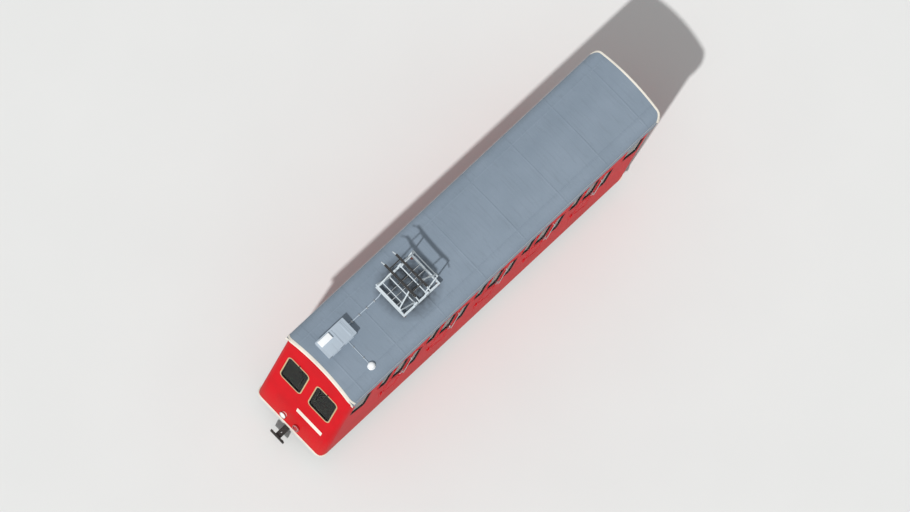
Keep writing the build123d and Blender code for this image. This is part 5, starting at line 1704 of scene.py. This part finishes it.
# %% [markdown]
# The motor has cooling ribs round its frame, end bells held by bolts and a terminal
# box for its cable. A rib is a flat bar bent round the frame and open at the top,
# where the frame is bolted up, so it is swept along an arc of 290 degrees.

# %% Motor
MOTOR_LOW, MOTOR_HIGH = islands("drive_motor", AS_BUILT)[0]
MOTOR_LONG = 1.05
MOTOR_RIBS, RIBS_IN = 13, 0.20
RIB, RIB_SUNK = (0.007, 0.017), 0.003
RIB_FROM, RIB_TURN, RIB_STEPS = 35, 290, 40
BELL_BOLTS, BELL_BOLTS_R, BELL_BOLTS_OUT = 10, 0.172, 0.006
BOX_LOW, BOX_HIGH = Vector((0.32, -0.03, -0.07)), Vector((0.62, 0.06, 0.09))
BOX_BOLTS_X, BOX_BOLTS_Z, BOX_BOLTS_OUT = (0.40, 0.54), (-0.055, 0.075), 0.064
BELL = [(0.060, 0), (0.165, 0), (0.150, 0.018), (0.075, 0.030), (0.060, 0.030), (0.060, 0)]
motor_r = (MOTOR_HIGH.y - MOTOR_LOW.y) / 2
motor_z = MOTOR_HIGH.z - motor_r
motor_ends = ((MOTOR_LOW.x, -1), (MOTOR_LOW.x + MOTOR_LONG, 1))
ribs = []
bends = [math.radians(RIB_FROM + RIB_TURN * i / RIB_STEPS) for i in range(RIB_STEPS + 1)]
for k in range(MOTOR_RIBS):
    x = MOTOR_LOW.x + RIBS_IN + k * (MOTOR_LONG - 2 * RIBS_IN) / (MOTOR_RIBS - 1)
    r = motor_r + RIB[1] / 2 - RIB_SUNK
    ribs.append(([(r * math.sin(a), motor_z + r * math.cos(a), x) for a in bends], False))
grow("motor_ribs", BAR, paths(ribs), DRIVE_GREY, "car_body", "drive_paint", ACROSS,
     Wide=RIB[1], Tall=RIB[0], Corner=0.0012)
bm = bmesh.new()
for x, out in motor_ends:
    turned(bm, BELL, stand((x, 0, motor_z), (out, 0, 0)), 40)
motor_side = Vector((MOTOR_LOW.x, motor_r, motor_z))
block(bm, motor_side + BOX_LOW, motor_side + BOX_HIGH)
piece("motor_bells_and_box", bm, DRIVE_GREY, "car_body", "drive_paint", bevel=0.003)
drive_bolts = []
for x, out in motor_ends:
    for k in range(BELL_BOLTS):
        a = 2 * math.pi * k / BELL_BOLTS
        drive_bolts.append(((x + out * BELL_BOLTS_OUT, BELL_BOLTS_R * math.cos(a),
                             motor_z + BELL_BOLTS_R * math.sin(a)), (out, 0, 0)))
drive_bolts += [((MOTOR_LOW.x + dx, motor_r + BOX_BOLTS_OUT, motor_z + dz), (0, 1, 0))
                for dx in BOX_BOLTS_X for dz in BOX_BOLTS_Z]
print("motor from", round(MOTOR_LOW.x, 3), "radius", round(motor_r, 3))

# %% [markdown]
# The gearbox and brake cases are castings too, with upright ribs on both faces and
# a row of bolts low down. All bolts of the drive are one mesh.

# %% Gearboxes
CASE_TALL = 0.1645
CASE_RIBS_Y, CASE_RIB_HALF = (-0.34, -0.20, 0.20, 0.34), 0.006
CASE_RIB_IN, CASE_RIB_OUT, CASE_RIB_FOOT, CASE_RIB_TOP = 0.002, 0.012, 0.012, 0.02
CASE_BOLTS_Y = (-0.36, -0.27, -0.12, 0.12, 0.27, 0.36)
CASE_BOLTS_OUT, CASE_BOLTS_UP = 0.004, 0.025
bm = bmesh.new()
for node in ("drive_gearbox", "brake_gearbox"):
    low, high = islands(node, AS_BUILT)[0]
    foot = high.z - CASE_TALL
    for out, face in ((-1, low.x), (1, high.x)):
        x0, x1 = sorted((face - out * CASE_RIB_IN, face + out * CASE_RIB_OUT))
        for y in CASE_RIBS_Y:
            block(bm, (x0, y - CASE_RIB_HALF, foot + CASE_RIB_FOOT),
                  (x1, y + CASE_RIB_HALF, high.z - CASE_RIB_TOP))
        drive_bolts += [((face + out * CASE_BOLTS_OUT, y, foot + CASE_BOLTS_UP), (out, 0, 0))
                        for y in CASE_BOLTS_Y]
piece("gearbox_ribs", bm, DRIVE_GREY, "car_body", "drive_paint", bevel=0.002)
grow("drive_bolts", STUDS, spots(drive_bolts), ZINC, "car_body", "horn_metal", Radius=0.009, Height=0.008,
     Sides=6)
print("drive bolts", len(drive_bolts))

# %% [markdown]
# Brake pipe and cable conduit run the length of the car, clipped to the outside of
# the solebars, and a conduit goes from them to the motor. They are fixed, so they
# are swept along straight lines with short bends.

# %% Pipes and conduits
PIPE_R, PIPE_OFF, PIPE_END = 0.014, 0.024, 0.06
LOW_PIPE, HIGH_PIPE = 0.035, 0.080
LEAD_R = 0.012
CLIP_ROWS, CLIP_END, CLIP_HALF = 9, 0.25, 0.014
CLIP_FOOT, CLIP_TOP, CLIP_IN, CLIP_OVER = 0.016, 0.098, 0.002, 0.003
bar_low, bar_high = islands("solebars", AS_BUILT)[0]
bar_out = max(c[1].y for c in islands("solebars", AS_BUILT))
pipe_y = bar_out + PIPE_OFF
pipes = []
for side, up in ((1, LOW_PIPE), (-1, LOW_PIPE), (1, HIGH_PIPE)):
    y, z = side * pipe_y, bar_low.z + up
    pipes.append(([(bar_low.x + PIPE_END, y, z), (bar_high.x - PIPE_END, y, z)], False))
clips = bmesh.new()
for side in (-1, 1):
    y0, y1 = sorted((side * (bar_out - CLIP_IN), side * (pipe_y + PIPE_R + CLIP_OVER)))
    for k in range(CLIP_ROWS):
        x = bar_low.x + CLIP_END + (bar_high.x - bar_low.x - 2 * CLIP_END) * k / (CLIP_ROWS - 1)
        block(clips, (x - CLIP_HALF, y0, bar_low.z + CLIP_FOOT),
              (x + CLIP_HALF, y1, bar_low.z + CLIP_TOP))
box_y, lead_x = motor_r + 0.045, MOTOR_LOW.x + 0.47
lead = [(lead_x, y, z) for y, z in (
    (box_y - 0.02, motor_z + 0.085), (box_y, motor_z + 0.12), (box_y + 0.03, bar_low.z - 0.018),
    (box_y + 0.06, bar_low.z - 0.016), (bar_out, bar_low.z - 0.016), (pipe_y, bar_low.z - 0.004),
    (pipe_y, bar_low.z + LOW_PIPE))]
grow("brake_pipes", TUBE, paths(pipes), FRAME_BLACK, "car_body", "frame_paint", Radius=PIPE_R)
grow("motor_lead", TUBE, paths([(lead, False)]), CABLE, "car_body", "stool_cover", Radius=LEAD_R)
piece("pipe_clips", clips, ZINC, "car_body", "horn_metal", bevel=0.003)
print("pipes", len(pipes), "at", round(pipe_y, 3))

# %% [markdown]
# The guards before the wheels carry a worn rubber edge bolted low on their front, and
# the draw gear's buffer plate is bolted to its seat.

# %% Guards and draw gear
RUBBER_IN, RUBBER_OUT, RUBBER_SIDE = 0.002, 0.012, 0.01
RUBBER_FOOT, RUBBER_TOP = 0.002, 0.09
GUARD_BOLTS, GUARD_BOLTS_SIDE = 4, 0.05
GUARD_BOLTS_OUT, GUARD_BOLTS_UP = 0.014, 0.060
PLATE_BACK, PLATE_BOLTS_Y, PLATE_BOLTS_Z = 0.049, (-0.17, 0.17), (0.325, 0.445)
bm = bmesh.new()
bolts = []
for low, high in islands("rail_guards", AS_BUILT):
    end = -1 if low.x < 0 else 1
    face = low.x if end < 0 else high.x
    x0, x1 = sorted((face - end * RUBBER_IN, face + end * RUBBER_OUT))
    block(bm, (x0, low.y + RUBBER_SIDE, low.z + RUBBER_FOOT),
          (x1, high.y - RUBBER_SIDE, low.z + RUBBER_TOP))
    row = high.y - low.y - 2 * GUARD_BOLTS_SIDE
    for k in range(GUARD_BOLTS):
        y = low.y + GUARD_BOLTS_SIDE + row * k / (GUARD_BOLTS - 1)
        bolts.append(((face + end * GUARD_BOLTS_OUT, y, low.z + GUARD_BOLTS_UP), (end, 0, 0)))
piece("guard_rubbers", bm, RUBBER, "car_body", "stool_cover", bevel=0.004)
for node, end in (("draw_gear_valley", -1), ("draw_gear_hill", 1)):
    low, high = islands(node, AS_BUILT)[0]
    tip = low.x if end < 0 else high.x
    bolts += [((tip - end * PLATE_BACK, y, z), (-end, 0, 0))
              for y in PLATE_BOLTS_Y for z in PLATE_BOLTS_Z]
grow("guard_and_draw_bolts", STUDS, spots(bolts), ZINC, "car_body", "horn_metal", Radius=0.013,
     Height=0.010, Sides=6)
print("guard and draw gear bolts", len(bolts))

# %% [markdown]
# Construction edges are dead sharp. A small bevel on the pieces that catch light,
# added as a modifier, leaves the frame's own meshes as they are. The stools and the
# brake drum get the widest, castings nearly as wide a one, rolled sections the least.

# %% Soften edges
SOFT_FROM = math.radians(50)
WIDE_EDGE = 0.010
SOFT = {
    0.004: ["solebars", "headstocks", "cross_members", "rail_guards", "draw_gear_valley", "draw_gear_hill",
            "pantograph_base", "control_desks"],
    0.010: ["drive_gearbox", "brake_gearbox", "axle_boxes", "roof_case"],
    0.012: ["driver_stools", "brake_drum"],
}
for width, names in SOFT.items():
    for name in names:
        mod = nodes[name].modifiers.new("soft edges", "BEVEL")
        mod.width, mod.limit_method, mod.angle_limit = width, "ANGLE", SOFT_FROM
        mod.segments = 2 if width < WIDE_EDGE else 3

# %% [markdown]
# The stage is a plain pale floor under the flanges, one lamp like a sun behind thin
# haze, and an even pale sky. The sky shows nearly white to the camera, in gloss and
# through glass, and lights the car at a lower level, so colours stay as written. The
# lamp stands towards the valley and a little to the car's right side, so that the
# shadows of the roof case and the horn fall as they do in the photograph.

# %% Floor
STAGE_SIZE = 400.0
STAGE_CLOUD = 2.5
bpy.ops.mesh.primitive_plane_add(size=STAGE_SIZE, location=(0, 0, cad_box[0][2]))
floor = bpy.context.object
floor.name = "stage_floor"
mat, tree, shader, place = material("pale studio floor", roughness=0.9)
cloudy = add(tree, "ShaderNodeTexNoise", {"Vector": place, "Scale": 1 / STAGE_CLOUD, "Detail": 2}).outputs[0]
tone = add(tree, "ShaderNodeMix", {0: cloudy, 6: linear("DEDEDC"), 7: linear("E2E2E0")},
           data_type="RGBA").outputs[2]
connect(tree, shader, colour=tone)
floor.data.materials.append(mat)
print("floor at", round(cad_box[0][2], 4))

# %% Sky and lamp
SKY_LIGHTS, SKY_SHOWS = 0.46, 0.95
SUN_LIGHTS, SUN_WIDE = 2.6, math.radians(1.8)
TO_SUN = Vector((-0.70, -0.27, 1.0))
world = bpy.data.worlds.new("studio sky")
bpy.context.scene.world = world
world.use_nodes = True
tree = world.node_tree
tree.nodes.clear()
rays = add(tree, "ShaderNodeLightPath").outputs
seen = add(tree, "ShaderNodeMath", {0: rays["Is Camera Ray"], 1: rays["Is Glossy Ray"]},
           operation="ADD").outputs[0]
seen = add(tree, "ShaderNodeMath", {0: seen, 1: rays["Is Transmission Ray"]}, operation="ADD").outputs[0]
level = add(tree, "ShaderNodeMapRange",
            {"Value": seen, "To Min": SKY_LIGHTS, "To Max": SKY_SHOWS}).outputs[0]
sky = add(tree, "ShaderNodeBackground", {"Color": linear("F4F6F8"), "Strength": level}).outputs[0]
add(tree, "ShaderNodeOutputWorld", {"Surface": sky})

lamp = bpy.data.objects.new("hazy sun", bpy.data.lights.new("hazy sun", "SUN"))
lamp.data.energy = SUN_LIGHTS
lamp.data.angle = SUN_WIDE
lamp.rotation_euler = TO_SUN.to_track_quat("Z", "Y").to_euler()
bpy.context.scene.collection.objects.link(lamp)
print("sun from", [round(v, 2) for v in lamp.rotation_euler])

# %% [markdown]
# The photograph looks almost straight down on the roof, a little from the right
# side, with the uphill end towards the upper right. The car is so small in it that
# perspective hardly shows. The same direction and roll are kept from far away, with
# a lens so long that the whole car fills the frame.

# %% Camera
TO_CAMERA = Vector((-0.11, -0.165, 0.98)).normalized()
UPHILL_IN_PICTURE = math.radians(43)
CAMERA_AWAY = 320.0
FRAME_WIDE = 21.4
SENSOR = 36.0
AIM = Vector((0.05, 0, 1.9))
SEES_TO = 1000.0

along = (Vector((1, 0, 0)) - TO_CAMERA * TO_CAMERA.x).normalized()
side = TO_CAMERA.cross(along)
right = along * math.cos(UPHILL_IN_PICTURE) - side * math.sin(UPHILL_IN_PICTURE)
up = along * math.sin(UPHILL_IN_PICTURE) + side * math.cos(UPHILL_IN_PICTURE)
camera = bpy.data.objects.new("camera", bpy.data.cameras.new("camera"))
bpy.context.scene.collection.objects.link(camera)
camera.matrix_world = Matrix.Translation(AIM + TO_CAMERA * CAMERA_AWAY) @ Matrix((
    (right.x, up.x, TO_CAMERA.x, 0), (right.y, up.y, TO_CAMERA.y, 0),
    (right.z, up.z, TO_CAMERA.z, 0), (0, 0, 0, 1)))
camera.data.sensor_width = SENSOR
camera.data.lens = SENSOR * CAMERA_AWAY / FRAME_WIDE
camera.data.clip_end = SEES_TO
bpy.context.scene.camera = camera
bpy.context.scene.view_settings.view_transform = "Standard"
print("lens", round(camera.data.lens, 1), "mm")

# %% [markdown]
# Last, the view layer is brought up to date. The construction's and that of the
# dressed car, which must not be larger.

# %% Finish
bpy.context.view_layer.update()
